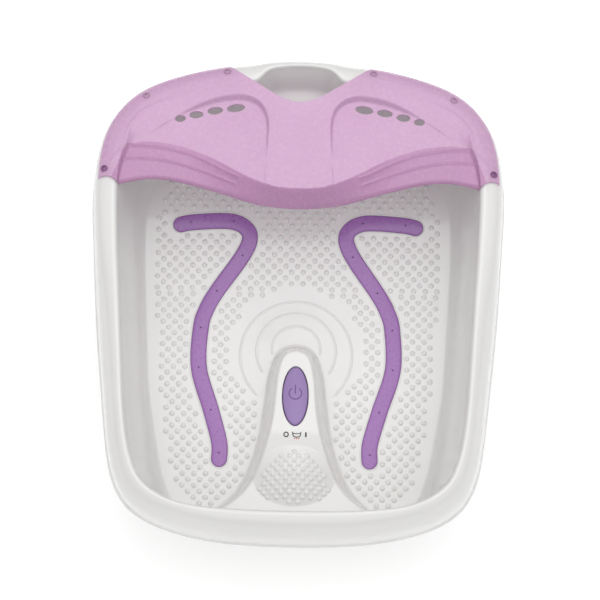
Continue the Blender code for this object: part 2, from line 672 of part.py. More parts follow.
# ---------------------------------------------------------------- splash guard
def guard_rows():
    """Underside of the guard as rows from its outer edge to its front edge."""
    lip, inner = loop_of(LIP), loop_of(RIM_INNER)
    columns = sorted({2 * i / GUARD_COLUMNS - 1 for i in range(GUARD_COLUMNS + 1)}
                     | {side * share for share in NOTCH_COLUMNS for side in (1, -1)})
    rim_shares = (GUARD_OUTER_SHARE, 0.44, GUARD_INNER_SHARE)
    panel_rows = 5
    rows = []
    for j in range(len(rim_shares) + panel_rows):
        on_rim = j < len(rim_shares)
        end = GUARD_END_OUTER + (GUARD_END_INNER - GUARD_END_OUTER) * min(j / 3, 1)
        row = []
        for column in columns:
            a = end * column
            o, e = reach(lip, a), reach(inner, a)
            front = polar_curve(GUARD_FRONT, a) or e - 0.006
            front = min(front, e - 0.006)
            notch = polar_curve(GUARD_NOTCH, a) or 1.0
            edge = min(e - 0.0015, notch - 0.0015 * len(rim_shares))
            if on_rim:
                r = min(o + (e - o) * rim_shares[j], notch - 0.0015 * j)
            else:
                r = edge + (front - edge) * (j - len(rim_shares)) / (panel_rows - 1)
            row.append(at(r, a, guard_height(r, a, o, e, front)))
        rows.append(row)
    return rows


def guard_height(r, a, lip_reach, inner_reach, front):
    """Underside height: it lies on the rim, then dishes gently and droops at the front band."""
    share = (lip_reach - r) / (lip_reach - inner_reach)
    if share <= GUARD_INNER_SHARE + 0.001:
        return rim_height(share, a) + GUARD_SEAT
    start = CREST_Z + GUARD_SEAT
    run = (inner_reach - r) / (inner_reach - front)
    band_reach = polar_curve(GUARD_BAND, a) or inner_reach
    band = min((inner_reach - min(band_reach, inner_reach)) / (inner_reach - front), 0.9)
    droop = GUARD_DROOP * (1 - smooth(abs(a) / GUARD_END_OUTER) ** 2)
    z = start - GUARD_DISH * smooth(run / max(band, 0.2))
    return z - droop * max(0.0, (run - band) / (1 - band)) ** 1.3


def make_guard(build):
    data = mesh_from(loft(guard_rows(), closed=False), "splash_guard")
    guard = build.add("splash_guard", data, "guard", smooth_angle=50)
    solidify(guard, GUARD_T, 1)
    bm = bmesh.new()
    for side in (1, -1):
        for x, y, half_x, half_y in VENTS:
            place = Matrix.Translation((side * x, y, CREST_Z)) @ Matrix.Rotation(-side * VENT_TURN, 4, "Z")
            place = place @ Matrix.Diagonal((half_x, half_y, 1, 1))
            bmesh.ops.create_cone(bm, cap_ends=True, segments=12, radius1=1, radius2=1, depth=0.05,
                                  matrix=place)
    boolean(guard, build.cutter("guard_vents", mesh_from(bm, "guard_vents")), "DIFFERENCE")
    holes = rim_cylinders("guard_screw_holes", 0.0021, -0.004, 0.010, 8)
    boolean(guard, build.cutter("guard_screw_holes", holes), "DIFFERENCE")


def make_guard_screws(build):
    seat = GUARD_SEAT + GUARD_T + 3 * GAP
    profile = [(0, seat + 0.0013), (0.0022, seat + 0.0010), (0.0034, seat), (0.0015, seat), (0.0015, -0.012),
               (0, -0.012)]
    for (x, y), place in zip(GUARD_SCREWS, ("side", "corner", "back")):
        for side, hand in ((1, "right"), (-1, "left")):
            screw = turned(build, f"guard_screw_{place}_{hand}", profile, "pin", (0, 0, 0), 10)
            screw.matrix_world = seat_on_rim(side * x, y)


# ---------------------------------------------------------------- air strips, channels and hoses
def make_strips(build):
    for side, hand in ((1, "right"), (-1, "left")):
        data = ribbon(f"bubble_strip_{hand}", strip_line(), STRIP_HALF_WIDTH, STRIP_PROUD, -WALL, side)
        strip = build.add(f"bubble_strip_{hand}", data, "strip")
        holes = [(side * x, y, AIR_HOLE_R, 0.03, 0.09) for x, y in AIR_HOLES]
        holes = cylinders(f"air_holes_{hand}", holes, 6)
        boolean(strip, build.cutter(f"air_holes_{hand}", holes), "DIFFERENCE")


def make_channels(build):
    """Open trough under each strip, with a nipple for the hose."""
    top = -WALL - CHANNEL_GAP
    for side, hand in ((1, "right"), (-1, "left")):
        data = ribbon(f"air_channel_{hand}", strip_line(1), STRIP_HALF_WIDTH + 0.0028, top,
                      top - CHANNEL_DEPTH, side)
        channel = build.add(f"air_channel_{hand}", data, "nylon")
        x, y = NIPPLE_XY
        low = floor_height(x, y) + top - CHANNEL_DEPTH
        nipple = cylinders(f"nipple_{hand}", [(side * x, y, 0.0030, low - NIPPLE_LENGTH, low + 0.001)], 10)
        boolean(channel, build.cutter(f"nipple_{hand}", nipple), "UNION")
        inside = ribbon(f"channel_inside_{hand}", strip_line(1), STRIP_HALF_WIDTH + 0.0008, 0.004,
                        top - CHANNEL_DEPTH + CHANNEL_WALL, side)
        boolean(channel, build.cutter(f"channel_inside_{hand}", inside), "DIFFERENCE")
        bore = cylinders(f"nipple_bore_{hand}", [(side * x, y, 0.0018, low - 0.02, low + 0.005)], 10)
        boolean(channel, build.cutter(f"nipple_bore_{hand}", bore), "DIFFERENCE")


def between_walls(degrees, z):
    """Point midway between the basin's wall and the housing's, on the ray at this angle."""
    a = math.radians(degrees)
    lip, inner, edge = (reach(loop_of(half), a) for half in (LIP, RIM_INNER, FLOOR_EDGE))
    low, high = on_floor(edge, a).z, SPOUT_Z
    basin = inner + (edge - inner) * min(max((high - z) / (high - low), 0.05), 1) + WALL
    for (i0, z0), (i1, z1) in zip(HOUSING_SECTION, HOUSING_SECTION[1:]):
        if z0 >= z >= z1:
            inset = i0 + (i1 - i0) * (z0 - z) / (z0 - z1)
    return at((basin + lip - inset - WALL) / 2, a, z)


def hose_route(side):
    """From the blower's outlet up behind the tub, above the water line, and down to the strip's nipple."""
    x, y = NIPPLE_XY
    low = floor_height(x, y) - WALL - CHANNEL_GAP - CHANNEL_DEPTH - NIPPLE_LENGTH - 2 * GAP
    points = [(0.0468, MOTOR_Y + OUTLET_Y, OUTLET_Z), (0.060, MOTOR_Y + OUTLET_Y, OUTLET_Z),
              (0.085, 0.1225, OUTLET_Z), (0.108, 0.129, 0.027)]
    points += [between_walls(degrees, z) for degrees, z in HOSE_ARCH]
    points += [(0.122, 0.0985, 0.035), (0.108, 0.0995, 0.030), (x + 0.006, y - 0.0005, 0.030),
               (x, y, low - 0.009), (x, y, low)]
    return [(side * px, py, pz) for px, py, pz in points]


def make_hoses(build):
    for side, hand in ((1, "right"), (-1, "left")):
        tube(build, f"air_hose_{hand}", hose_route(side), HOSE_R, "hose", steps=2)


# ---------------------------------------------------------------- blower
def outlet_boxes(name, x0, x1, half):
    """A square bar on each side, between x0 and x1, about the outlets' axis."""
    y, z = MOTOR_Y + OUTLET_Y, OUTLET_Z
    return boxes(name, [((min(side * x0, side * x1), y - half, z - half),
                         (max(side * x0, side * x1), y + half, z + half)) for side in (1, -1)])


def make_blower(build):
    z0, z1, axis = VOLUTE_Z0, VOLUTE_Z1, (0, MOTOR_Y)
    scroll = []
    for a in [math.tau * i / 32 for i in range(32)]:
        r = VOLUTE_R + 0.003 * math.sin(a)
        scroll.append((r * math.cos(a), r * math.sin(a)))
    shrink = 1 - VOLUTE_WALL / VOLUTE_R
    inner = [(x * shrink, y * shrink) for x, y in scroll]
    volute = build.add("blower_volute", prism("blower_volute", scroll, z0 + 0.0024, z1, axis), "nylon")
    outlets = outlet_boxes("volute_outlets", 0.034, 0.046, OUTLET_HALF)
    boolean(volute, build.cutter("volute_outlets", outlets), "UNION")
    cavity = prism("volute_cavity", inner, z0 - 0.004, z1 - VOLUTE_WALL, axis)
    boolean(volute, build.cutter("volute_cavity", cavity), "DIFFERENCE")
    bores = outlet_boxes("volute_bores", 0.028, 0.049, OUTLET_BORE_HALF)
    boolean(volute, build.cutter("volute_bores", bores), "DIFFERENCE")
    shaft_hole = cylinders("volute_shaft_hole", [(*axis, 0.0040, z1 - 0.01, z1 + 0.01)])
    boolean(volute, build.cutter("volute_shaft_hole", shaft_hole), "DIFFERENCE")
    cover = build.add("blower_cover", prism("blower_cover", scroll, z0, z0 + 0.0020, axis), "nylon")
    intake = cylinders("blower_intake", [(0, MOTOR_Y, 0.018, z0 - 0.01, z0 + 0.01)], 24)
    boolean(cover, build.cutter("blower_intake", intake), "DIFFERENCE")


def make_rotor(build):
    """Shaft, impeller and armature turn together about the motor's axis."""
    axis = (0, MOTOR_Y, 0)
    profile = [(0, 0.0575), (0.0015, 0.0575), (0.0015, 0.0135), (0, 0.0135)]
    turned(build, "motor_shaft", profile, "steel", axis, 12)
    profile = [(0.0055, 0.0260), (0.034, 0.0260), (0.034, 0.0245), (0.0055, 0.0225), (0.0055, 0.0150),
               (0.0019, 0.0150), (0.0019, 0.0260)]
    impeller = turned(build, "impeller", profile, "black", axis, 24, ring=True)
    bm = bmesh.new()
    for k in range(8):
        place = (Matrix.Rotation(math.tau * k / 8, 4, "Z") @ Matrix.Translation((0.021, 0, 0.0200))
                 @ Matrix.Rotation(math.radians(24), 4, "Z") @ Matrix.Diagonal((0.023, 0.0012, 0.0100, 1)))
        bmesh.ops.create_cube(bm, size=1, matrix=place)
    boolean(impeller, build.cutter("impeller_blades", mesh_from(bm, "impeller_blades"), axis), "UNION")
    profile = [(0.0095, 0.0490), (0.0115, 0.0480), (0.0115, 0.0400), (0.0095, 0.0390), (0.0019, 0.0390),
               (0.0019, 0.0490)]
    turned(build, "motor_armature", profile, "copper", axis, 20, ring=True)


def make_motor(build):
    base = VOLUTE_Z1 + GAP
    axis = (0, MOTOR_Y, 0)
    profile = [(0.0155, 0.0560), (0.0170, 0.0545), (0.0170, base + 0.0024), (0.0158, base + 0.0024),
               (0.0158, 0.0530), (0.0044, 0.0530), (0.0044, 0.0560)]
    turned(build, "motor_can", profile, "steel", axis, 24, ring=True)
    profile = [(0.0170, base + 0.0020), (0.0170, base), (0.0044, base), (0.0044, base + 0.0020)]
    turned(build, "motor_end_bell", profile, "black", axis, 24, ring=True)
    for name, low in (("motor_bush_lower", base), ("motor_bush_upper", 0.0528)):
        profile = [(0.0040, low + 0.0032), (0.0040, low), (0.0018, low), (0.0018, low + 0.0032)]
        turned(build, name, profile, "bronze", axis, 16, ring=True)


# ---------------------------------------------------------------- button, switch and heater
def make_button(build):
    """The cap and its stem; the origin is on the line that it travels along."""
    outline = [(button_reach(a) * math.sin(a), button_reach(a) * math.cos(a)) for a in rays(TUB_RAYS)]
    data = prism("power_button", facing_up(outline), CAP_FOOT_Z, CONSOLE_TOP_Z + GAP, crown=BUTTON_CROWN)
    button = build.add("power_button", data, "button", (0, BUTTON_Y, 0))
    stem = cylinders("button_stem", [(0, 0, STEM_R, STEM_FOOT_Z, CAP_FOOT_Z + 0.003)])
    boolean(button, build.cutter("button_stem", stem, (0, BUTTON_Y, 0)), "UNION")


def make_switch(build):
    place = (0, BUTTON_Y, 0)
    data = prism("button_frame", ellipse(0.0125, 0.0350, 24), FRAME_Z, FRAME_Z + FRAME_T)
    frame = build.add("button_frame", data, "nylon", place)
    posts = []
    for y in (0.0290, -0.0340):
        top = console_height(0, BUTTON_Y + y) - WALL - 0.0020
        posts.append(((-0.004, y, FRAME_Z + 0.001), (0.004, y + 0.0025, top)))
    for x in (0.0100, -0.0100):
        posts.append(((x - 0.0010, -0.0075, 0.0400), (x + 0.0010, 0.0075, FRAME_Z + 0.001)))
    for k, post in enumerate(posts):
        boolean(frame, build.cutter(f"frame_post_{k}", boxes(f"frame_post_{k}", [post]), place), "UNION")
    bore = cylinders("frame_bore", [(0, 0, STEM_R + 0.0004, 0.055, 0.08)])
    boolean(frame, build.cutter("frame_bore", bore, place), "DIFFERENCE")
    profile = [(0.0065, FRAME_Z - GAP), (0.0065, FRAME_Z - 0.0035), (STEM_R + 0.0003, FRAME_Z - 0.0035),
               (STEM_R + 0.0003, FRAME_Z - GAP)]
    turned(build, "stem_seal", profile, "rubber", place, 16, ring=True)
    make_spring(build, place)
    profile = [(0, STEM_FOOT_Z - GAP), (0.0025, STEM_FOOT_Z - GAP), (0.0025, 0.0480), (0, 0.0480)]
    turned(build, "switch_plunger", profile, "black", place, 12)
    data = boxes("switch_body", [((-0.0086, -0.0100, SWITCH_FOOT_Z), (0.0086, 0.0100, SWITCH_TOP_Z))])
    body = build.add("switch_body", data, "black", place)
    bore = cylinders("switch_bore", [(0, 0, 0.0029, 0.0440, 0.0600)])
    boolean(body, build.cutter("switch_bore", bore, place), "DIFFERENCE")


def make_spring(build, place):
    """Return spring round the stem, from the frame's tray to the cap."""
    wire, radius, turns, per_turn = 0.00045, 0.0052, 4, 8
    low = FRAME_Z + FRAME_T + wire + GAP
    high = CAP_FOOT_Z - wire - GAP
    count = turns * per_turn
    points = []
    for i in range(count + 1):
        a = math.tau * i / per_turn
        points.append((radius * math.cos(a), radius * math.sin(a), low + (high - low) * i / count))
    spring = tube(build, "button_spring", points, wire, "steel", steps=1, resolution=1)
    spring.location = place


def make_heater(build):
    """Heating lead in a flat spiral under the level floor, its pressing plate and a thermal cut-out."""
    under = FLOOR_Z - WALL
    turns, per_turn = 2, 14
    spiral = []
    for i in range(turns * per_turn + 1):
        a = math.tau * i / per_turn
        r = 0.012 + 0.007 * i / per_turn
        spiral.append((r * math.sin(a), HEATER_Y + r * math.cos(a), under - 0.0022))
    tube(build, "heater_lead", spiral, 0.0013, "silicone", steps=1)
    for name, slot, radius, top, bottom in (("heater_plate", "aluminium", 0.030, 0.0040, 0.0050),
                                            ("thermal_cutout", "steel", 0.008, 0.0054, 0.0110)):
        profile = [(0, under - top), (radius, under - top), (radius, under - bottom), (0, under - bottom)]
        turned(build, name, profile, slot, (0, HEATER_Y, 0), 24)


def make_board(build):
    (x0, x1), (y0, y1), z = BOARD_X, BOARD_Y, BOARD_Z
    data = boxes("rectifier_board", [((x0, y0, z), (x1, y1, z + BOARD_T))])
    board = build.add("rectifier_board", data, "board")
    items = [((x0 + 0.004, y0 + 0.004, z), (x0 + 0.016, y0 + 0.012, z + 0.010)),
             ((x0 + 0.022, y0 + 0.005, z), (x0 + 0.034, y0 + 0.011, z + 0.008)),
             ((x0 + 0.006, y0 + 0.018, z), (x0 + 0.030, y0 + 0.022, z + 0.006))]
    items += [((px - 0.002, py - 0.002, PLATE_Z + WALL + GAP), (px + 0.002, py + 0.002, z + 0.0008))
              for px in (x0 + 0.003, x1 - 0.003) for py in (y0 + 0.003, y1 - 0.003)]
    for k, item in enumerate(items):
        boolean(board, build.cutter(f"board_item_{k}", boxes(f"board_item_{k}", [item])), "UNION")


def make_leads(build):
    switch_y, turn_y = BUTTON_Y + 0.0108, BUTTON_Y + 0.0200
    routes = {
        "lead_gland_to_switch": [(0, 0.170, 0.032), (-0.020, 0.160, 0.024), (-0.056, 0.130, 0.014),
                                 (-0.058, 0.060, 0.012), (-0.040, -0.010, 0.014), (-0.014, -0.035, 0.026),
                                 (-0.006, turn_y, 0.0400), (-0.006, switch_y, 0.0400)],
        "lead_switch_to_board": [(0.006, switch_y, 0.0400), (0.006, turn_y, 0.0400), (0.020, -0.028, 0.022),
                                 (0.050, 0.010, 0.013), (0.060, 0.034, 0.0130), (0.060, 0.0390, 0.0133)],
        "lead_board_to_motor": [(0.080, 0.0690, 0.0133), (0.080, 0.074, 0.0150), (0.060, 0.078, 0.024),
                                (0.045, 0.088, 0.036), (0.026, 0.097, 0.042), (0.0177, 0.099, 0.043)],
        "lead_switch_to_heater": [(0, switch_y, 0.0380), (0, turn_y - 0.002, 0.0380), (0, -0.030, 0.030),
                                  (0, 0.000, 0.030), (0, 0.018, 0.034), (0, HEATER_Y, 0.0388)],
    }
    for name, route in routes.items():
        slot = "red_lead" if "heater" in name or "motor" in name else "black"
        tube(build, name, route, LEAD_R, slot, steps=3)


def main():
    clear_scene()
    build = Builder()
    for make in (make_tub, make_housing, make_gland, make_feet, make_base_screws, make_guard, make_guard_screws,
                 make_strips, make_channels, make_hoses, make_blower, make_rotor, make_motor, make_button,
                 make_switch, make_heater, make_board, make_leads):
        make(build)


main()
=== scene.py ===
"""The looks of the foot spa basin: a fine tub with its massage footbed, the lilac splash guard, the violet
air strips and button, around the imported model. Metres, +Z up, the spout and guard at +Y.
"""
import json
import math

import bmesh
import bpy
import numpy as np
from mathutils import Matrix, Vector


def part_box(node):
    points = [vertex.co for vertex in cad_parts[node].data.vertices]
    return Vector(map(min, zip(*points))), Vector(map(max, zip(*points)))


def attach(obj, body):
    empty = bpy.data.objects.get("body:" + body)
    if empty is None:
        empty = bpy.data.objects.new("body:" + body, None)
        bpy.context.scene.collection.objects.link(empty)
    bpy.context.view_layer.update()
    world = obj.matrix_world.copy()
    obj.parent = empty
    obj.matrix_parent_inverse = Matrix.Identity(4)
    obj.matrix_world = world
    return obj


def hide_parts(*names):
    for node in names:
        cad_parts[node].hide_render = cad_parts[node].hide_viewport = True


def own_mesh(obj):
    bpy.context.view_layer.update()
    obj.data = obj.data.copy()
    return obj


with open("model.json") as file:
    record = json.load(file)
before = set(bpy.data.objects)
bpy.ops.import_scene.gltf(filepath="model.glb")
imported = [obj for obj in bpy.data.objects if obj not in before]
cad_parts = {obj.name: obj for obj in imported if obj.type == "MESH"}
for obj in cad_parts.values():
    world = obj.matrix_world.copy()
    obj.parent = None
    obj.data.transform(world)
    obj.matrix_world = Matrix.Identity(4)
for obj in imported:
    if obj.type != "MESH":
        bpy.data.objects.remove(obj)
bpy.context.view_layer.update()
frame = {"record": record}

# ---------------------------------------------------------------- driving dimensions, close to the CAD's
WALL = 0.0025
CREST_Z, LIP_Z, RIM_FOOT_Z = 0.175, 0.132, 0.1705
LIP = [
    (0, -0.214), (0.06, -0.2112), (0.104, -0.202), (0.133, -0.188), (0.149, -0.1685), (0.158, -0.139),
    (0.1655, -0.08), (0.172, -0.02), (0.177, 0.045), (0.18, 0.097), (0.1768, 0.132), (0.1668, 0.1592),
    (0.145, 0.1835), (0.11, 0.2), (0.06, 0.2122), (0, 0.216),
]
RIM_INNER = [
    (0, -0.192), (0.05, -0.191), (0.093, -0.186), (0.121, -0.1715), (0.134, -0.149), (0.1415, -0.11),
    (0.146, -0.055), (0.15, 0), (0.153, 0.04), (0.1555, 0.095), (0.152, 0.128), (0.14, 0.153),
    (0.118, 0.171), (0.08, 0.1835), (0.04, 0.1885), (0, 0.19),
]
FLOOR_EDGE = [
    (0, -0.168), (0.06, -0.1675), (0.09, -0.163), (0.107, -0.152), (0.115, -0.134), (0.121, -0.11),
    (0.13, -0.057), (0.133, -0.017), (0.1365, 0.04), (0.1375, 0.09), (0.134, 0.12), (0.122, 0.142),
    (0.1, 0.156), (0.06, 0.1645), (0, 0.167),
]
SPOUT_HALF_WIDTH, SPOUT_BACK_Y = 0.034, 0.204

# Rim section: share of the way from lip to inner edge, height at the sides and front, height at the rear.
RIM_PROFILE = [
    (0.0, LIP_Z, LIP_Z), (0.0, 0.1336, 0.1336), (0.035, 0.1342, 0.1346), (0.064, 0.136, 0.1385),
    (0.086, 0.143, 0.148), (0.118, 0.151, 0.1575), (0.18, 0.1575, 0.1642), (0.26, 0.1628, 0.169),
    (0.36, 0.1666, 0.1717), (0.48, 0.1699, 0.1733), (0.6, 0.1724, 0.1743), (0.72, 0.1741, 0.1749),
    (0.82, 0.175, 0.175), (0.92, 0.1746, 0.1745), (0.984, 0.1727, 0.1725),
    (1.0, RIM_FOOT_Z, RIM_FOOT_Z),
]
RIM_BLEND_START, RIM_BLEND_END = math.radians(50), math.radians(78)  # where the two sections meet
SPOUT_START_SHARE = 0.12  # share of the rim's section where it starts to run out to the spout
# Basin wall: share of the way from the rim's inner edge to the floor's edge, and share of the height.
WALL_PROFILE = [
    (0.0, 1.0), (0.06, 0.93), (0.16, 0.82), (0.28, 0.67), (0.4, 0.51), (0.51, 0.35), (0.61, 0.2),
    (0.72, 0.095), (0.84, 0.032), (0.94, 0.006), (1.0, 0.0),
]

FLOOR_Z = 0.053
TOE_START_Y, TOE_SLOPE = 0.045, math.tan(math.radians(12))
HEEL_START_Y, HEEL_SLOPE, HEEL_END_Y = -0.04, math.tan(math.radians(8)), -0.150
SLOPE_BLEND = 0.012
RING_CENTRE_Y, RING_DOME_R, RING_DOME = -0.0165, 0.052, 0.003
# Rings: y of the centre, radius, and the angle in degrees where each side ends.
RINGS = [(-0.0213, 0.05, 141), (-0.0178, 0.0355, 128), (-0.0163, 0.0216, 107)]

BUTTON_Y = -0.068
BUTTON_HALF_X, BUTTON_HALF_Y = 0.0109, 0.0264
BUTTON_SHIFT = -0.0013  # its cap's middle, from the stem that carries it
CONSOLE_FOOT = [
    (0, -0.012), (0.011, -0.0146), (0.018, -0.0215), (0.024, -0.0385), (0.0272, -0.058),
    (0.0298, -0.076), (0.0325, -0.093), (0.037, -0.111), (0.044, -0.129), (0.0535, -0.145),
    (0.067, -0.158), (0.086, -0.17),
]
CONSOLE_TOP = [
    (0, -0.029), (0.0084, -0.0322), (0.013, -0.042), (0.0152, -0.056), (0.0165, -0.074),
    (0.0182, -0.09), (0.021, -0.104), (0.0252, -0.118), (0.0308, -0.132), (0.038, -0.146),
    (0.049, -0.158), (0.065, -0.17),
]
CONSOLE_DROP_Y, CONSOLE_DROP = -0.093, 0.055
CONSOLE_TOP_Z, CONSOLE_FRONT_Z = 0.088, 0.070
MOUND_Y, MOUND_HALF_X, MOUND_HALF_Y, MOUND_RISE = -0.138, 0.036, 0.026, 0.011

STRIP_PATH = [
    (0.106, 0.0977), (0.097, 0.0996), (0.075, 0.1013), (0.0585, 0.1008), (0.0475, 0.0955),
    (0.0435, 0.0862), (0.0498, 0.0705), (0.0722, 0.038), (0.0815, 0.02), (0.0858, 0.003),
    (0.0864, -0.034), (0.0747, -0.072), (0.0668, -0.1), (0.0665, -0.115),
]
STRIP_HALF_WIDTH = 0.0069
AIR_HOLES = [
    (0.097, 0.0996), (0.0585, 0.1008), (0.0498, 0.0705), (0.0722, 0.038), (0.0858, 0.003),
    (0.0864, -0.034), (0.0747, -0.072), (0.0667, -0.1097),
]
AIR_HOLE_R, AIR_HOLE_Z, AIR_HOLE_DEPTH = 0.0007, 0.06, 0.06

# Splash guard
GUARD_SEAT, GUARD_T = 0.0008, 0.0022
GUARD_END_OUTER = math.radians(46.2)
# Share of the way from its outer to its front edge, and the angle where it ends there.
GUARD_END = [
    (0.0, GUARD_END_OUTER), (0.09, math.radians(45.8)), (0.44, math.radians(44.6)),
    (0.64, math.radians(44.2)), (1.0, math.radians(43.85)),
]
GUARD_NOTCH = [
    (0, 0.17), (0.0174, 0.175), (0.033, 0.1847), (0.048, 0.1943), (0.0615, 0.2043), (0.075, 0.215),
]
GUARD_FRONT = [
    (0, 0.0792), (0.027, 0.0811), (0.0423, 0.084), (0.0572, 0.088), (0.072, 0.0919), (0.0869, 0.0953),
    (0.1047, 0.0988), (0.1196, 0.1001), (0.1314, 0.0993), (0.1431, 0.097), (0.1548, 0.0936),
    (0.164, 0.0905),
]
GUARD_BAND = [
    (0, 0.0911), (0.0127, 0.0915), (0.025, 0.0938), (0.0396, 0.0993), (0.0545, 0.1067), (0.0694, 0.115),
    (0.0875, 0.1231), (0.105, 0.1289), (0.1215, 0.1315), (0.1353, 0.1318), (0.146, 0.13), (0.16, 0.127),
]
# Vents: x, y, half width and half height.
VENTS = [
    (0.1035, 0.1534, 0.0047, 0.003), (0.0898, 0.158, 0.006, 0.0034), (0.0737, 0.1625, 0.0068, 0.0036),
    (0.0558, 0.1655, 0.0079, 0.0039),
]
VENT_TURN = math.radians(9)
GUARD_SCREWS = [(0.1668, 0.1048), (0.1334, 0.1735), (0.0637, 0.1975)]
GUARD_SCREW_NAMES = ("side", "corner", "back")
SCREW_HOLE_R, SCREW_LENGTH, SCREW_RECESS = 0.0022, 0.012, (0.0032, 0.0006, 0.0016)
# A screw's head: radius, and height over its seat.
SCREW_HEAD = [
    (0, 0.0016), (0.001, 0.00155), (0.002, 0.00125), (0.0028, 0.0008), (0.0033, 0.0002), (0.00335, 0),
    (0.0015, -0.0001),
]

HOUSING_SECTION = [(0.0105, 0.1365), (0.02, 0.085), (0.0315, 0.016), (0.039, 0.006)]
MOTOR_Y = 0.100

HANDS = ((1, "right"), (-1, "left"))  # sign of x, and name
POLE_Y = BUTTON_Y  # the tub's rays start at the button
RAYS = 600


# ---------------------------------------------------------------- curves
def spline(points, steps, closed=False):
    """Catmull-Rom curve through points, as an array."""
    points = np.array(points, float)
    count = len(points)
    spans = count if closed else count - 1
    t = np.linspace(0, 1, steps, endpoint=False)[:, None]
    found = []
    for span in range(spans):
        if closed:
            a, b, c, d = (points[(span + k) % count] for k in (-1, 0, 1, 2))
        else:
            a, b, c, d = (points[min(max(span + k, 0), count - 1)] for k in (-1, 0, 1, 2))
        found.append(0.5 * (2 * b + (c - a) * t + (2 * a - 5 * b + 4 * c - d) * t ** 2
                            + (3 * b - a - 3 * c + d) * t ** 3))
    if not closed:
        found.append(points[-1:])
    return np.concatenate(found)


def loop_of(half):
    """Smooth closed outline from a half outline, mirrored in X."""
    mirrored = [(-x, y) for x, y in reversed(half[1:-1])]
    return spline([*half, *mirrored], 12, closed=True)


def to_polar(x, y):
    """Angle about the pole, 0 towards +Y and positive towards +X, and radius."""
    return np.arctan2(x, y - POLE_Y), np.hypot(x, y - POLE_Y)


def from_polar(angles, radius):
    return radius * np.sin(angles), POLE_Y + radius * np.cos(angles)


def polar_of(curve):
    """Angles and radii of a curve about the pole, sorted by angle."""
    angle, radius = to_polar(*curve.T)
    order = np.argsort(angle)
    return angle[order], radius[order]


def reach(half, angles, soften=1.0):
    """Radius of a closed outline at each angle, softened a little so that highlights run evenly."""
    angle, radius = polar_of(loop_of(half))
    fine = np.linspace(-math.pi, math.pi, 1440, endpoint=False)
    values = np.interp(fine, angle, radius, period=math.tau)
    if soften:
        spread = soften * 4
        kernel = np.exp(-0.5 * (np.arange(-24, 25) / spread) ** 2)
        kernel /= kernel.sum()
        values = np.convolve(np.concatenate([values[-24:], values, values[:24]]), kernel, "valid")
    return np.interp(angles, fine, values, period=math.tau)


def open_reach(points, angles):
    """Radius of an open curve that starts at x = 0, mirrored in X, at each angle."""
    mirrored = [(-x, y) for x, y in reversed(points[1:])]
    angle, radius = polar_of(spline([*mirrored, *points], 12))
    return np.interp(angles, angle, radius)


def smooth(t):
    t = np.clip(t, 0, 1)
    return t * t * (3 - 2 * t)


def soft(x):
    """max(x, 0) with a rounded corner."""
    return (x + np.sqrt(x * x + SLOPE_BLEND ** 2)) / 2


def distance_to(curve, x, y):
    """Distance of each point to a polyline."""
    best = np.full(x.shape, 1e9)
    for (ax, ay), (bx, by) in zip(curve[:-1], curve[1:]):
        dx, dy = bx - ax, by - ay
        length = dx * dx + dy * dy
        if length == 0:
            continue
        t = np.clip(((x - ax) * dx + (y - ay) * dy) / length, 0, 1)
        best = np.minimum(best, np.hypot(x - ax - t * dx, y - ay - t * dy))
    return best


# ---------------------------------------------------------------- heights
def console_share(x, y):
    """0 outside the console's foot, 1 on its top, and between them on its flank."""
    x = np.abs(x)
    foot, top = spline(CONSOLE_FOOT, 6), spline(CONSOLE_TOP, 6)
    foot_x = np.interp(-y, -foot[:, 1], foot[:, 0], left=-1)
    top_x = np.interp(-y, -top[:, 1], top[:, 0], left=-1)
    to_foot, to_top = distance_to(foot, x, y), distance_to(top, x, y)
    share = to_foot / np.maximum(to_foot + to_top, 1e-9)
    share = np.where(x < top_x, 1.0, share)
    return np.where(x > foot_x, 0.0, share)


def bed_height(x, y):
    heel_run = np.minimum(soft(HEEL_START_Y - y), HEEL_START_Y - HEEL_END_Y)
    z = FLOOR_Z + soft(y - TOE_START_Y) * TOE_SLOPE - heel_run * HEEL_SLOPE
    ring = np.minimum(np.hypot(x, y - RING_CENTRE_Y) / RING_DOME_R, 1)
    return z + RING_DOME * (1 - ring ** 2) ** 2


def console_height(x, y):
    z = CONSOLE_TOP_Z + (CONSOLE_FRONT_Z - CONSOLE_TOP_Z) * smooth((CONSOLE_DROP_Y - y) / CONSOLE_DROP)
    mound = (x / MOUND_HALF_X) ** 2 + ((y - MOUND_Y) / MOUND_HALF_Y) ** 2
    lift = np.maximum(0.0, 1 - mound)
    return z + MOUND_RISE * lift ** 1.25


def floor_height(x, y):
    x, y = np.asarray(x, float), np.asarray(y, float)
    share = smooth(console_share(x, y))
    return bed_height(x, y) * (1 - share) + console_height(x, y) * share


def floor_normals(x, y, step=0.0006):
    """Unit normals of the footbed at points."""
    dx = (floor_height(x + step, y) - floor_height(x - step, y)) / (2 * step)
    dy = (floor_height(x, y + step) - floor_height(x, y - step)) / (2 * step)
    return unit(np.stack([-dx, -dy, np.ones_like(dx)], axis=1))


def rear_share(angles):
    """1 where the rim has its rear section, 0 where it has the other one."""
    return smooth((RIM_BLEND_END - np.abs(angles)) / (RIM_BLEND_END - RIM_BLEND_START))


def rim_height(share, angles):
    shares, side, back = np.array(RIM_PROFILE[1:]).T
    side, back = np.interp(share, shares, side), np.interp(share, shares, back)
    return side + (back - side) * rear_share(angles)


def button_reach(angles, gap=0.0):
    """Radius about the pole of the button's outline, an ellipse grown by a gap."""
    half_x, half_y = BUTTON_HALF_X + gap, BUTTON_HALF_Y + gap
    a = (np.sin(angles) / half_x) ** 2 + (np.cos(angles) / half_y) ** 2
    b = -2 * BUTTON_SHIFT * np.cos(angles) / half_y ** 2
    c = (BUTTON_SHIFT / half_y) ** 2 - 1
    return (-b + np.sqrt(b * b - 4 * a * c)) / (2 * a)


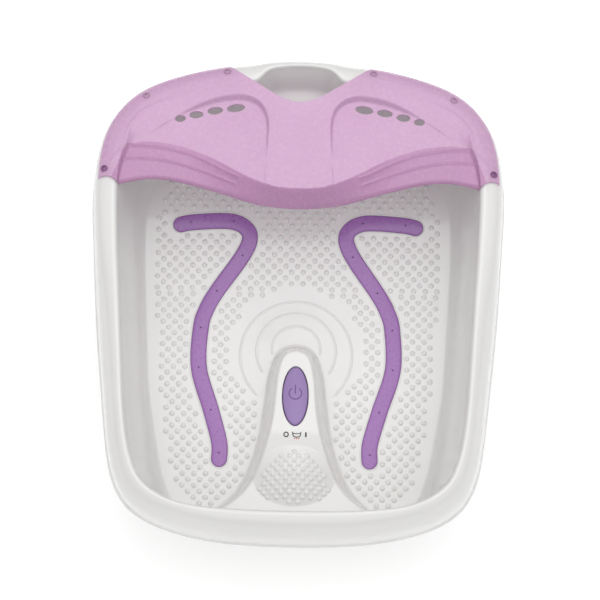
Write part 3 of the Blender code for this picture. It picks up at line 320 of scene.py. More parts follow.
# ---------------------------------------------------------------- mesh helpers
def new_object(name, data):
    obj = bpy.data.objects.new(name, data)
    bpy.context.scene.collection.objects.link(obj)
    return obj


def grid_mesh(name, points, wrap_rows=False, wrap_columns=False):
    """Quad mesh over an array of points, rows by columns."""
    rows, columns = points.shape[:2]
    index = np.arange(rows * columns).reshape(rows, columns)
    if wrap_rows:
        index = np.concatenate([index, index[:1]])
    if wrap_columns:
        index = np.concatenate([index, index[:, :1]], axis=1)
    a, b = index[:-1, :-1].ravel(), index[1:, :-1].ravel()
    c, d = index[1:, 1:].ravel(), index[:-1, 1:].ravel()
    data = bpy.data.meshes.new(name)
    data.from_pydata(points.reshape(-1, 3).tolist(), [], np.stack([a, b, c, d], axis=1).tolist())
    data.shade_smooth()
    return data


def unit(vectors):
    return vectors / np.linalg.norm(vectors, axis=1)[:, None]


def left_of(vectors):
    """Vectors in the ground plane, a quarter turn left of these."""
    return np.stack([-vectors[:, 1], vectors[:, 0]], axis=1)


def tangents(line, closed=False):
    """Unit tangents of a line."""
    if not closed:
        return unit(np.gradient(line, axis=0))
    wrapped = np.concatenate([line[-1:], line, line[:1]])
    return unit(wrapped[2:] - wrapped[:-2])


def fill_rows(bm, rows, count):
    """A face over each of these rows of a grid's vertices, which has count of them."""
    bm.verts.ensure_lookup_table()
    for row in rows:
        bm.faces.new([bm.verts[row * count + k] for k in range(count)])


def close_pole(data, row, count):
    """Swaps the tunnel between a wrapped shell's two rings at its pole for a face over each ring."""
    bm = bmesh.new()
    bm.from_mesh(data)
    bm.verts.ensure_lookup_table()
    both = {bm.verts[row * count + k] for k in range(2 * count)}
    tunnel = [face for face in bm.faces if both.issuperset(face.verts)]
    bmesh.ops.delete(bm, geom=tunnel, context="FACES_ONLY")
    fill_rows(bm, (row, row + 1), count)
    bm.to_mesh(data)
    bm.free()


def outward(data, filled_rows=(), count=0):
    """Turns a mesh's faces outwards, after it fills these rows, of this many vertices each."""
    bm = bmesh.new()
    bm.from_mesh(data)
    fill_rows(bm, filled_rows, count)
    bmesh.ops.recalc_face_normals(bm, faces=bm.faces)
    bm.to_mesh(data)
    bm.free()
    data.shade_smooth()


def object_from(name, bm):
    """An object with a bmesh's faces. The bmesh is freed."""
    data = bpy.data.meshes.new(name)
    bm.to_mesh(data)
    bm.free()
    return new_object(name, data)


def slab(bm, placement, size):
    """Adds a box of this size to a bmesh."""
    bmesh.ops.create_cube(bm, size=1, matrix=placement @ Matrix.Diagonal((*size, 1)))


def rod(bm, placement, radius, depth, segments):
    """Adds a cylinder along its placement's Z to a bmesh."""
    bmesh.ops.create_cone(bm, cap_ends=True, segments=segments, radius1=radius, radius2=radius, depth=depth,
                          matrix=placement)


def place(obj, body, slot, material, *replaced):
    """Gives a piece its material and its body, and hides the CAD nodes it stands for. Its slot is not used.
    """
    obj.data.materials.clear()
    obj.data.materials.append(material)
    if replaced:
        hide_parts(*replaced)
    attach(obj, body)
    return obj


def sharp_edges(obj, degrees):
    obj.data.shade_smooth()
    obj.data.set_sharp_from_angle(angle=math.radians(degrees))


def cut(obj, cutter):
    """Exact Boolean difference, applied."""
    modifier = obj.modifiers.new("cut", "BOOLEAN")
    modifier.operation = "DIFFERENCE"
    modifier.solver = "EXACT"
    modifier.object = cutter
    graph = bpy.context.evaluated_depsgraph_get()
    data = bpy.data.meshes.new_from_object(obj.evaluated_get(graph))
    obj.modifiers.clear()
    obj.data = data
    bpy.data.objects.remove(cutter)


def turned_mesh(name, profile, segments):
    """Solid of revolution about Z from (radius, z) points, closed where the radius is 0."""
    angles = np.linspace(0, math.tau, segments, endpoint=False)
    profile = np.array(profile)
    rows = np.stack([np.outer(profile[:, 0], np.cos(angles)), np.outer(profile[:, 0], np.sin(angles)),
                     np.repeat(profile[:, 1:], segments, axis=1)], axis=2)
    data = grid_mesh(name, rows, wrap_columns=True)
    bm = bmesh.new()
    bm.from_mesh(data)
    bmesh.ops.remove_doubles(bm, verts=bm.verts, dist=1e-6)
    bmesh.ops.recalc_face_normals(bm, faces=bm.faces)
    bm.to_mesh(data)
    bm.free()
    data.shade_smooth()
    return data


def domes(name, centres, normals, profile, segments=14):
    """One mesh of small round bumps: profile is (radius, height) from the middle out, along each normal."""
    angles = np.linspace(0, math.tau, segments, endpoint=False)
    side = unit(np.cross(normals, (1.0, 0, 0)))
    across = np.cross(side, normals)
    round_x, round_y = np.cos(angles), np.sin(angles)
    verts, faces = [], []
    base = 0
    ring = np.arange(segments)
    after = (ring + 1) % segments
    for centre, normal, u, v in zip(centres, normals, across, side):
        verts.append((centre + normal * profile[0][1])[None])
        for radius, height in profile[1:]:
            verts.append(centre + normal * height + radius * (round_x[:, None] * u + round_y[:, None] * v))
        faces += [(base, base + 1 + int(i), base + 1 + int(j)) for i, j in zip(ring, after)]
        for k in range(len(profile) - 2):
            near, far = base + 1 + k * segments, base + 1 + (k + 1) * segments
            faces += [(near + int(i), far + int(i), far + int(j), near + int(j))
                      for i, j in zip(ring, after)]
        base += 1 + segments * (len(profile) - 1)
    data = bpy.data.meshes.new(name)
    data.from_pydata(np.concatenate(verts).tolist(), [], faces)
    if data.polygons[0].normal.dot(Vector(normals[0])) < 0:
        data.flip_normals()
    data.shade_smooth()
    return data


def tube_of(name, rows, closed=False):
    """Mesh of a tube, from the lines that run along it. It is filled at both ends or closed on itself."""
    data = grid_mesh(name, np.stack(rows, axis=1), wrap_rows=closed, wrap_columns=True)
    outward(data, () if closed else (0, len(rows[0]) - 1), len(rows))
    return data


def swept(name, line, normals, section, closed=False):
    """Bead along a line on a surface: section is (across, up) points, closed round."""
    across = unit(np.cross(tangents(line, closed), normals))
    return tube_of(name, [line + across * offset + normals * height for offset, height in section], closed)


# ---------------------------------------------------------------- materials
def node_material(name, colour, roughness, metallic=0.0, **sockets):
    """Principled material; further sockets by name with _ for a space."""
    made = bpy.data.materials.new(name)
    made.use_nodes = True
    shader = made.node_tree.nodes["Principled BSDF"]
    shader.inputs["Base Color"].default_value = (*colour, 1)
    shader.inputs["Roughness"].default_value = roughness
    shader.inputs["Metallic"].default_value = metallic
    for socket, value in sockets.items():
        shader.inputs[socket.replace("_", " ")].default_value = value
    return made


def add(made, kind, **values):
    """A node, with its input values by name and its properties in lower case."""
    node = made.node_tree.nodes.new(kind)
    for key, value in values.items():
        if key[0].isupper():
            node.inputs[key.replace("_", " ")].default_value = value
        else:
            setattr(node, key, value)
    return node


def link(made, out_node, out_socket, in_node, in_socket):
    made.node_tree.links.new(out_node.outputs[out_socket], in_node.inputs[in_socket])


def shader_of(made):
    return made.node_tree.nodes["Principled BSDF"]


def object_noise(made, scale, detail=4.0, roughness=0.5, stretch=None):
    """Noise in the object's own coordinates, which can be stretched along an axis."""
    coordinates = add(made, "ShaderNodeTexCoord")
    noise = add(made, "ShaderNodeTexNoise", Scale=scale, Detail=detail, Roughness=roughness)
    if stretch:
        mapping = add(made, "ShaderNodeMapping", Scale=stretch)
        link(made, coordinates, "Object", mapping, "Vector")
        link(made, mapping, "Vector", noise, "Vector")
    else:
        link(made, coordinates, "Object", noise, "Vector")
    return noise


def vary_colour(made, source, first, second, low=0.35, high=0.65, socket="Fac"):
    """Base colour that runs from the first to the second as the source goes from low to high."""
    ramp = add(made, "ShaderNodeValToRGB")
    for stop, position, colour in zip(ramp.color_ramp.elements, (low, high), (first, second)):
        stop.position = position
        stop.color = (*colour, 1)
    link(made, source, socket, ramp, "Fac")
    link(made, ramp, "Color", shader_of(made), "Base Color")


def vary_roughness(made, noise, low, high):
    spread = add(made, "ShaderNodeMapRange", From_Min=0.3, From_Max=0.7, To_Min=low, To_Max=high)
    link(made, noise, "Fac", spread, "Value")
    link(made, spread, "Result", shader_of(made), "Roughness")


def add_bump(made, source, socket, strength, distance):
    bump = add(made, "ShaderNodeBump", Strength=strength, Distance=distance)
    link(made, source, socket, bump, "Height")
    link(made, bump, "Normal", shader_of(made), "Normal")


def moulded(name, colour, roughness, shade=0.985, ripple=0.00004, **sockets):
    """Moulded plastic: faint flow marks in its colour and gloss, and a very shallow unevenness."""
    made = node_material(name, colour, roughness, **sockets)
    broad = object_noise(made, 14, 3)
    vary_colour(made, broad, tuple(c * shade for c in colour), colour)
    fine = object_noise(made, 260, 3, 0.6)
    vary_roughness(made, fine, roughness * 0.88, roughness * 1.16)
    add_bump(made, broad, "Fac", 0.35, ripple)
    return made


def textured(name, colour, roughness, grain=900.0, depth=0.00005, shade=0.94, **sockets):
    """Plastic or rubber with a fine eroded grain."""
    made = node_material(name, colour, roughness, **sockets)
    fine = object_noise(made, grain, 5, 0.65)
    vary_colour(made, object_noise(made, 30, 3), tuple(c * shade for c in colour), colour)
    vary_roughness(made, fine, roughness * 0.85, min(roughness * 1.15, 1))
    add_bump(made, fine, "Fac", 0.6, depth)
    return made


def metal(name, colour, roughness, stretch=(1, 1, 12), shade=0.85):
    """Metal with drawn or rolled streaks."""
    made = node_material(name, colour, roughness, 1.0)
    streaks = object_noise(made, 420, 4, 0.6, stretch)
    vary_colour(made, object_noise(made, 60, 3), tuple(c * shade for c in colour), colour)
    vary_roughness(made, streaks, roughness * 0.8, roughness * 1.3)
    add_bump(made, streaks, "Fac", 0.3, 0.00002)
    return made


def make_materials():
    made = {
        "shell": moulded("white_shell", (0.845, 0.838, 0.825), 0.17, Subsurface_Weight=0.12,
                         Subsurface_Radius=(0.006, 0.0055, 0.005), Subsurface_Scale=0.6, Coat_Weight=0.25,
                         Coat_Roughness=0.06),
        "housing": moulded("white_housing", (0.84, 0.833, 0.82), 0.24, Subsurface_Weight=0.08,
                           Subsurface_Radius=(0.005, 0.005, 0.005), Subsurface_Scale=0.5),
        "guard": moulded("lilac_guard", (0.8, 0.51, 0.75), 0.26, shade=0.97, Subsurface_Weight=0.25,
                         Subsurface_Radius=(0.008, 0.004, 0.008), Subsurface_Scale=0.6, Coat_Weight=0.15,
                         Coat_Roughness=0.12, Alpha=0.72),
        # The band: a darker copy of the guard's lilac, painted shade on the bent-down front band where it
        # turns from the light.
        "band": moulded("lilac_guard_band_painted_shade", (0.66, 0.35, 0.6), 0.26, shade=0.97, Subsurface_Weight=0.2,
                        Subsurface_Radius=(0.008, 0.004, 0.008), Subsurface_Scale=0.5, Coat_Weight=0.15,
                        Coat_Roughness=0.12, Alpha=0.72),
        "strip": moulded("violet_strip", (0.35, 0.15, 0.46), 0.28, shade=0.94, Coat_Weight=0.2,
                         Coat_Roughness=0.1),
        "button": textured("violet_button", (0.33, 0.22, 0.48), 0.38, 1400, 0.00002),
        "symbol": textured("violet_button_symbol", (0.16, 0.08, 0.27), 0.35, 1400, 0.00002),
        "ink": textured("black_print", (0.02, 0.02, 0.02), 0.4, 1600, 0.00001, 0.8),
        "red_ink": textured("red_print", (0.65, 0.05, 0.04), 0.4, 1600, 0.00001, 0.9),
        "rubber": textured("grey_rubber", (0.1, 0.1, 0.1), 0.75, 700, 0.00012),
        "steel": metal("zinc_steel", (0.62, 0.62, 0.63), 0.3),
        "pin": moulded("violet_screw", (0.27, 0.11, 0.27), 0.25, shade=0.9),
        "pale_pin": moulded("lilac_screw", (0.5, 0.3, 0.46), 0.2, shade=0.9),
        "nylon": textured("natural_nylon", (0.7, 0.68, 0.62), 0.5, 600),
        "black": textured("black_plastic", (0.025, 0.025, 0.027), 0.42, 900),
        "aluminium": metal("rolled_aluminium", (0.78, 0.78, 0.79), 0.3, (1, 14, 1)),
        "bronze": metal("sintered_bronze", (0.6, 0.42, 0.22), 0.45, None, 0.75),
        "hose": moulded("clear_hose", (0.72, 0.75, 0.76), 0.2, Transmission_Weight=0.55, IOR=1.43),
        "red_lead": textured("red_sheath", (0.5, 0.045, 0.04), 0.4, 800),
        "silicone": textured("silicone_sheath", (0.62, 0.27, 0.07), 0.5, 500),
    }
    made["copper"] = winding_material()
    made["board"] = board_material()
    return made


def winding_material():
    """Enamelled wire wound side by side on the armature."""
    made = node_material("armature_winding", (0.62, 0.26, 0.1), 0.3, 0.9)
    coordinates = add(made, "ShaderNodeTexCoord")
    wires = add(made, "ShaderNodeTexWave", Scale=1400.0, Distortion=0.6, Detail=2.0, bands_direction="Z")
    link(made, coordinates, "Object", wires, "Vector")
    vary_colour(made, wires, (0.2, 0.07, 0.03), (0.72, 0.33, 0.14), 0.05, 0.7)
    add_bump(made, wires, "Fac", 0.8, 0.0001)
    return made


def board_material():
    """Green solder mask with faint tracks under it."""
    made = node_material("solder_mask", (0.02, 0.16, 0.05), 0.3)
    coordinates = add(made, "ShaderNodeTexCoord")
    tracks = add(made, "ShaderNodeTexVoronoi", Scale=240.0, distance="MANHATTAN")
    link(made, coordinates, "Object", tracks, "Vector")
    vary_colour(made, tracks, (0.015, 0.11, 0.035), (0.03, 0.2, 0.07), 0.42, 0.55, "Distance")
    add_bump(made, tracks, "Distance", 0.3, 0.0001)
    return made


# ---------------------------------------------------------------- tub
SPOUT_LEDGE = (0.142, 0.134)  # heights between which the spout's back runs in to the basin's wall
WELL_DEPTH, WELL_GAP = 0.009, 0.0010
# The well's top edge: drop below the floor, and how far it leans in.
WELL_EDGE = [(0.0003, -0.0003), (0.0009, -0.0004), (WELL_DEPTH / 2, -0.0002), (WELL_DEPTH, 0.0)]
WALL_SCALE = 0.12  # spreads the wall's points evenly, as if it were this high
RIM_RINGS, WALL_RINGS, FLOOR_RINGS = 46, 56, 150


def spout_half():
    """RIM_INNER with the pouring spout let into its back."""
    corner = SPOUT_HALF_WIDTH
    return [*RIM_INNER[:-2], (corner + 0.026, 0.1865), (corner + 0.014, 0.1878), (corner + 0.006, 0.1892),
            (corner, 0.1938), (corner - 0.004, 0.199), (corner - 0.01, 0.2025),
            (corner - 0.018, SPOUT_BACK_Y), (0.007, SPOUT_BACK_Y + 0.001), (0, SPOUT_BACK_Y + 0.001)]


def ring_at(angles, radius, z):
    x, y = from_polar(angles, radius)
    return np.stack([x, y, z * np.ones_like(angles)], axis=1)


def bed_points(x, y):
    """Points of the footbed."""
    return np.stack([x, y, floor_height(x, y)], axis=1)


def on_floor(angles, radius):
    return bed_points(*from_polar(angles, radius))


def smooth_profile(profile, count):
    """Points evenly spread along a smooth curve through a profile's points."""
    scale = np.array([0.028, 1.0])  # a share of the rim's width, in metres
    fine = spline(profile, 16)
    along = np.concatenate([[0], np.cumsum(np.hypot(*(np.diff(fine[:, :2], axis=0) * scale).T))])
    even = np.linspace(0, along[-1], count)
    return np.stack([np.interp(even, along, column) for column in fine.T], axis=1)


def rim_radius(share, lip, inner, mouth):
    """Radius of a point of the rim's section, whose inner part runs out to the spout where there is one."""
    run = max(0.0, share - SPOUT_START_SHARE) / (1 - SPOUT_START_SHARE)
    return lip + (inner - lip) * share + (mouth - inner) * run


def tub_upper():
    """The tub's upper face as rings, from the lip over the rim and down to the button's well."""
    angles = np.linspace(-math.pi, math.pi, RAYS, endpoint=False)
    lip, inner, edge = (reach(half, angles) for half in (LIP, RIM_INNER, FLOOR_EDGE))
    mouth = np.maximum(reach(spout_half(), angles, 0.35), inner)
    rear = rear_share(angles)
    rows = [ring_at(angles, rim_radius(share, lip, inner, mouth), side + (back - side) * rear)
            for share, side, back in smooth_profile(RIM_PROFILE, RIM_RINGS)]
    foot = on_floor(angles, edge)[:, 2]
    profile = smooth_profile([(share, height * WALL_SCALE) for share, height in WALL_PROFILE], WALL_RINGS)
    for share, height in profile[1:]:
        z = foot + (RIM_FOOT_Z - foot) * height / WALL_SCALE
        recess = (mouth - inner) * (1 - smooth((SPOUT_LEDGE[0] - z) / (SPOUT_LEDGE[0] - SPOUT_LEDGE[1])))
        rows.append(ring_at(angles, inner + (edge - inner) * share + recess, z))
    well = button_reach(angles, WELL_GAP)
    for share in np.linspace(1, 0, FLOOR_RINGS + 1)[1:]:
        rows.append(on_floor(angles, well + (edge - well) * share))
    top = rows[-1]
    for drop, spread in WELL_EDGE:
        row = ring_at(angles, well + spread, 0)
        row[:, 2] = top[:, 2] - drop
        rows.append(row)
    return np.array(rows)


def grid_normals(rows):
    """Normals of a grid whose columns run round, facing up or outwards."""
    down = np.gradient(rows, axis=0)
    wrapped = np.concatenate([rows[:, -1:], rows, rows[:, :1]], axis=1)
    around = (wrapped[:, 2:] - wrapped[:, :-2]) / 2
    normals = np.cross(around, down)
    return normals / np.maximum(np.linalg.norm(normals, axis=2), 1e-12)[..., None]


def make_tub(materials):
    """The white moulding: its upper face, an underside one wall below, and the slots of the air strips."""
    upper = tub_upper()
    normals = grid_normals(upper)
    crest = int(np.argmax(upper[:RIM_RINGS, 0, 2]))
    if normals[crest, 0, 2] < 0:
        normals = -normals
    picked = [*range(len(upper) - 1, RIM_RINGS, -6), *range(RIM_RINGS, -1, -2)]
    under = upper[picked] - normals[picked] * WALL  # with fewer rings than the upper face
    data = grid_mesh("tub_shell", np.concatenate([upper, under]), wrap_rows=True, wrap_columns=True)
    outward(data)
    tub = new_object("tub_shell", data)
    for side, _ in HANDS:
        slot = ribbon_mesh("slot_cutter", side, STRIP_HALF_WIDTH + SLOT_GAP, SLOT_SECTION)
        cut(tub, new_object("slot_cutter", slot))
    sharp_edges(tub, 50)
    place(tub, "base", "shell", materials["shell"], "tub")


# ---------------------------------------------------------------- footbed
# A nodule's section: radius and height.
NODULE = [
    (0, 0.0019), (0.0006, 0.00183), (0.0011, 0.0016), (0.00155, 0.0012), (0.0019, 0.0007),
    (0.0022, 0.00028), (0.0025, 0.00006), (0.0028, -0.0001),
]
FIELD_HALF_X, MOUND_FIELD_HALF_X = 0.14, 0.04
MOUND_NODULE_SIZE = 0.92
# Fields of nodules: pitch in x, pitch in y, and their first and last rows' y.
FIELDS = [(0.0105, 0.0052, 0.1552, 0.04), (0.0104, 0.00526, 0.03506, -0.165)]
NODULE_EDGE, NODULE_RING_R, NODULE_STRIP, NODULE_CONSOLE = 0.0098, 0.06, 0.0112, 0.0026
MOUND_PITCH_X, MOUND_PITCH_Y = 0.0075, 0.0038
# Outline of the nodules on the arch mound: y, and half width there.
MOUND_FIELD = [
    (-0.1635, 0.0), (-0.1602, 0.0075), (-0.1564, 0.0245), (-0.1526, 0.0285), (-0.1488, 0.0315),
    (-0.1374, 0.0285), (-0.1336, 0.0255), (-0.1222, 0.013), (-0.1184, 0.002),
]


def lattice(x_max, y_min, y_max, pitch_x, pitch_y):
    """Rows of points, every other row shifted by half a pitch."""
    found = []
    count = int((y_max - y_min) / pitch_y) + 1
    for row in range(count):
        y = y_max - row * pitch_y
        shift = pitch_x / 2 if row % 2 else 0.0
        steps = int(x_max / pitch_x) + 1
        found += [(k * pitch_x + shift, y) for k in range(-steps - 1, steps + 1)]
    return np.array(found)


def make_nodules(materials):
    """Nodules on the footbed, clear of its edge, rings, strips and console, and on the arch mound."""
    points = np.concatenate([lattice(FIELD_HALF_X, last, first, pitch_x, pitch_y)
                             for pitch_x, pitch_y, first, last in FIELDS])
    x, y = points.T
    edge_line = loop_of(FLOOR_EDGE)
    angle, radius = to_polar(x, y)
    inside = radius < reach(FLOOR_EDGE, angle, 0)
    strip = spline(STRIP_PATH, 8)
    foot = spline(CONSOLE_FOOT, 6)
    keep = inside & (distance_to(edge_line, x, y) > NODULE_EDGE)
    keep &= np.hypot(x, y - RING_CENTRE_Y) > NODULE_RING_R
    keep &= distance_to(strip, np.abs(x), y) > NODULE_STRIP
    keep &= (console_share(x, y) <= 0) & (distance_to(foot, np.abs(x), y) > NODULE_CONSOLE)
    points = points[keep]
    add_nodules("footbed_nodules", points, 1.0, materials)
    (first, _), *_, (last, _) = MOUND_FIELD
    points = lattice(MOUND_FIELD_HALF_X, first, last, MOUND_PITCH_X, MOUND_PITCH_Y)
    x, y = points.T
    on_mound = np.abs(x) < np.interp(y, *zip(*MOUND_FIELD))
    add_nodules("arch_nodules", points[on_mound], MOUND_NODULE_SIZE, materials)


def add_nodules(name, points, size, materials):
    x, y = points.T
    profile = [(radius * size, height * size) for radius, height in NODULE]
    data = domes(name, bed_points(x, y), floor_normals(x, y), profile)
    place(new_object(name, data), "base", "shell", materials["shell"])


# A ring's section: across and up.
RING_SECTION = [
    (-0.0013, -0.0004), (-0.0012, -0.00002), (-0.0008, 0.0002), (-0.0004, 0.00048), (0, 0.0006),
    (0.0004, 0.00048), (0.0008, 0.0002), (0.0012, -0.00002), (0.0013, -0.0004),
]
RING_SINK, RING_FADE = 0.0007, 0.12  # at its ends a ring sinks this deep, over this angle in radians


def make_rings(materials):
    """Thin raised lines round the console's nose; the outer ones run further forward."""
    for k, (centre, radius, end) in enumerate(RINGS):
        angles = np.radians(np.linspace(-end, end, 480))
        x, y = radius * np.sin(angles), centre + radius * np.cos(angles)
        line = bed_points(x, y)
        fade = smooth((math.radians(end) - np.abs(angles)) / RING_FADE)[:, None] - 1
        normals = floor_normals(x, y)
        name = f"footbed_ring_{k + 1}"
        data = swept(name, line + normals * RING_SINK * fade, normals, RING_SECTION)
        place(new_object(name, data), "base", "shell", materials["shell"])


# ---------------------------------------------------------------- air strips
# Sections: share of the half width and height over the bed, for the slot's cutter and for the strip.
SLOT_GAP = 0.0002
SLOT_SECTION = [(-1, -0.01), (-1, 0.01), (1, 0.01), (1, -0.01)]
STRIP_SECTION = [
    (-1.0, -WALL), (-1.0, 0.00005), (-0.99, 0.00035), (-0.95, 0.00062), (-0.88, 0.00082), (-0.7, 0.001),
    (-0.35, 0.0011), (0, 0.00115), (0.35, 0.0011), (0.7, 0.001), (0.88, 0.00082), (0.95, 0.00062),
    (0.99, 0.00035), (1.0, 0.00005), (1.0, -WALL),
]
# Bead of the bed round the strip: across and up.
LIP_SECTION = [
    (-0.00075, -0.0004), (-0.0007, 0.0001), (-0.00045, 0.0005), (0, 0.00066), (0.00045, 0.0005),
    (0.0007, 0.0001), (0.00075, -0.0004),
]
LIP_OFFSET = 0.00085  # of the bead's middle, from the strip's edge


def ribbon_mesh(name, side, half_width, section, steps=10):
    """Band along the strip's path with round ends."""
    line = spline(STRIP_PATH, steps)
    leave, arrive = unit(line[[0, -1]] - line[[1, -2]])
    head, tail = line[0] + leave * half_width, line[-1] + arrive * half_width
    shares = 1 - np.cos(np.linspace(0, math.pi / 2, 12))
    shares[0] = 0.004
    start = head + (line[0] - head) * shares[:, None]
    end = (tail + (line[-1] - tail) * shares[:, None])[::-1]
    middle = np.concatenate([start, line[1:-1], end])
    across = left_of(tangents(middle))
    to_end = np.minimum(np.linalg.norm(middle - head, axis=1), np.linalg.norm(middle - tail, axis=1))
    inset = np.maximum(0, 1 - to_end / half_width)
    wide = half_width * np.sqrt(np.maximum(0, 1 - inset ** 2))
    rows = []
    for share, height in section:
        q = middle + across * (wide * share)[:, None]
        rows.append(np.stack([side * q[:, 0], q[:, 1], floor_height(q[:, 0], q[:, 1]) + height], axis=1))
    return tube_of(name, rows)


def strip_outline(side, offset):
    """Closed line round the strip, this far outside its middle line."""
    line = spline(STRIP_PATH, 10)
    forward = tangents(line)
    across = left_of(forward)
    turn = np.linspace(0, math.pi, 14)[1:-1]
    head = [line[0] + offset * (-across[0] * math.cos(t) - forward[0] * math.sin(t)) for t in turn]
    tail = [line[-1] + offset * (across[-1] * math.cos(t) + forward[-1] * math.sin(t)) for t in turn]
    loop = np.concatenate([line + across * offset, tail, (line - across * offset)[::-1], head])
    return loop * (side, 1)


def make_strips(materials):
    """The two violet strips with their air holes, each in a slot with a raised lip."""
    for side, hand in HANDS:
        name = f"air_strip_{hand}"
        strip = new_object(name, ribbon_mesh(name, side, STRIP_HALF_WIDTH, STRIP_SECTION))
        bm = bmesh.new()
        for x, y in AIR_HOLES:
            rod(bm, Matrix.Translation((side * x, y, AIR_HOLE_Z)), AIR_HOLE_R, AIR_HOLE_DEPTH, 18)
        cut(strip, object_from("holes", bm))
        sharp_edges(strip, 60)
        place(strip, "base", "strip", materials["strip"], f"bubble_strip_{hand}")
        name = f"strip_lip_{hand}"
        x, y = strip_outline(side, STRIP_HALF_WIDTH + LIP_OFFSET).T
        bead = swept(name, bed_points(x, y), floor_normals(x, y), LIP_SECTION, closed=True)
        place(new_object(name, bead), "base", "shell", materials["shell"])


# ---------------------------------------------------------------- power button and its legend
BUTTON_TOP, BUTTON_CROWN, CAP_FOOT_Z = CONSOLE_TOP_Z + 0.0004, 0.0016, CONSOLE_TOP_Z - 0.0085
STEM_R, STEM_FOOT_Z = 0.0035, 0.0600
# The cap's rounded edge: share of its outline and drop below its top. Then the shares of its crown's rings.
CAP_EDGE = [(1.0, 0.0016), (0.995, 0.001), (0.982, 0.0004)]
CAP_RINGS = (0.955, 0.9, 0.82, 0.72, 0.6, 0.46, 0.3, 0.14, 0.02)
SYMBOL_WIDTH, SYMBOL_RISE, SYMBOL_R, SYMBOL_SHIFT = 0.001, 0.00016, 0.0054, 0.0006
LEGEND_Y, LEGEND_X, INK_RISE = -0.1037, 0.0018, 0.00006
BASIN_MARK = [
    (0.0041, 0.0021), (0.0034, 0.0016), (0.0034, -0.0002), (0.0024, -0.0016), (0.0008, -0.002),
]
BEAD_SECTION = (
    (-1, -0.5), (-1, 0.35), (-0.8, 0.8), (-0.4, 1.0), (0.4, 1.0), (0.8, 0.8), (1, 0.35), (1, -0.5),
)


def button_top(x, y):
    """Height of the cap's crowned top."""
    share = np.hypot(x / BUTTON_HALF_X, (y - BUTTON_Y - BUTTON_SHIFT) / BUTTON_HALF_Y)
    return BUTTON_TOP + BUTTON_CROWN * (1 - np.minimum(share, 1) ** 2.2)


def make_button(materials):
    """The crowned oval cap on its stem, with a power mark."""
    angles = np.linspace(0, math.tau, 144, endpoint=False)
    outline = button_reach(angles)
    rows = [ring_at(angles, outline, CAP_FOOT_Z)]
    for share, drop in CAP_EDGE:
        rows.append(ring_at(angles, outline * share, BUTTON_TOP - drop))
    for share in CAP_RINGS:
        row = ring_at(angles, outline * share, 0)
        row[:, 2] = button_top(row[:, 0], row[:, 1])
        rows.append(row)
    stem = [ring_at(angles, STEM_R * np.ones_like(angles), z) for z in (CAP_FOOT_Z, STEM_FOOT_Z)]
    centre = [ring_at(angles, 0.0002 * np.ones_like(angles), STEM_FOOT_Z)]
    rows = np.array(centre + stem[::-1] + rows)
    data = grid_mesh("button_cap", rows, wrap_columns=True)
    outward(data, (0, len(rows) - 1), len(angles))
    cap = new_object("button_cap", data)
    sharp_edges(cap, 45)
    place(cap, "button", "button", materials["button"], "power_button")
    make_power_symbol(materials)


def bead_on(name, line, height_of, width, rise, closed=False):
    """Low rounded bead on a near-level surface, such as a raised or printed mark."""
    line = np.array(line)
    across = left_of(tangents(line, closed))
    rows = []
    for share, up in BEAD_SECTION:
        q = line + across * width / 2 * share
        rows.append(np.stack([q[:, 0], q[:, 1], height_of(q[:, 0], q[:, 1]) + rise * up], axis=1))
    return new_object(name, tube_of(name, rows, closed))


def make_power_symbol(materials):
    """A plain power mark on the cap: an open ring and a bar."""
    centre = np.array([0, BUTTON_Y + SYMBOL_SHIFT])
    turn = np.radians(np.linspace(36, 324, 60))
    ring = centre + SYMBOL_R * np.stack([np.sin(turn), np.cos(turn)], axis=1)
    bar = centre + np.stack([np.zeros(12), np.linspace(-0.0004, 0.0076, 12)], axis=1)
    for name, line in (("power_mark_ring", ring), ("power_mark_bar", bar)):
        mark = bead_on(name, line, button_top, SYMBOL_WIDTH, SYMBOL_RISE)
        place(mark, "button", "button", materials["symbol"])


def make_legend(materials):
    """Printed marks below the button: a ring, a basin with bubbles under it, and a bar."""
    turn = np.linspace(0, math.tau, 32, endpoint=False)
    circle = np.stack([np.cos(turn), np.sin(turn)], axis=1)
    middle = np.array([LEGEND_X, LEGEND_Y])
    bar = [(0.0097, LEGEND_Y - 0.0020 + 0.0040 * t) for t in np.linspace(0, 1, 6)]
    basin = spline([(-x, y) for x, y in BASIN_MARK] + BASIN_MARK[::-1], 6) + middle
    across = np.linspace(-0.003, 0.003, 24)
    water = np.stack([across, 0.0008 + 0.0003 * np.cos(across * math.tau / 0.002)], axis=1) + middle
    marks = [("off", (-0.0074, LEGEND_Y) + circle * 0.00185, 0.001, True), ("on", bar, 0.0014, False),
             ("basin", basin, 0.0008, False), ("water", water, 0.0006, False)]
    for name, line, width, closed in marks:
        mark = bead_on(f"mark_{name}", line, floor_height, width, INK_RISE, closed)
        place(mark, "base", "black", materials["ink"])
    for k, x in enumerate((-LEGEND_X, 0.0, LEGEND_X)):
        bubble = middle + (x, -0.0032) + circle * 0.0003
        dot = bead_on(f"mark_bubble_{k + 1}", bubble, floor_height, 0.0005, INK_RISE, True)
        place(dot, "base", "red_lead", materials["red_ink"])


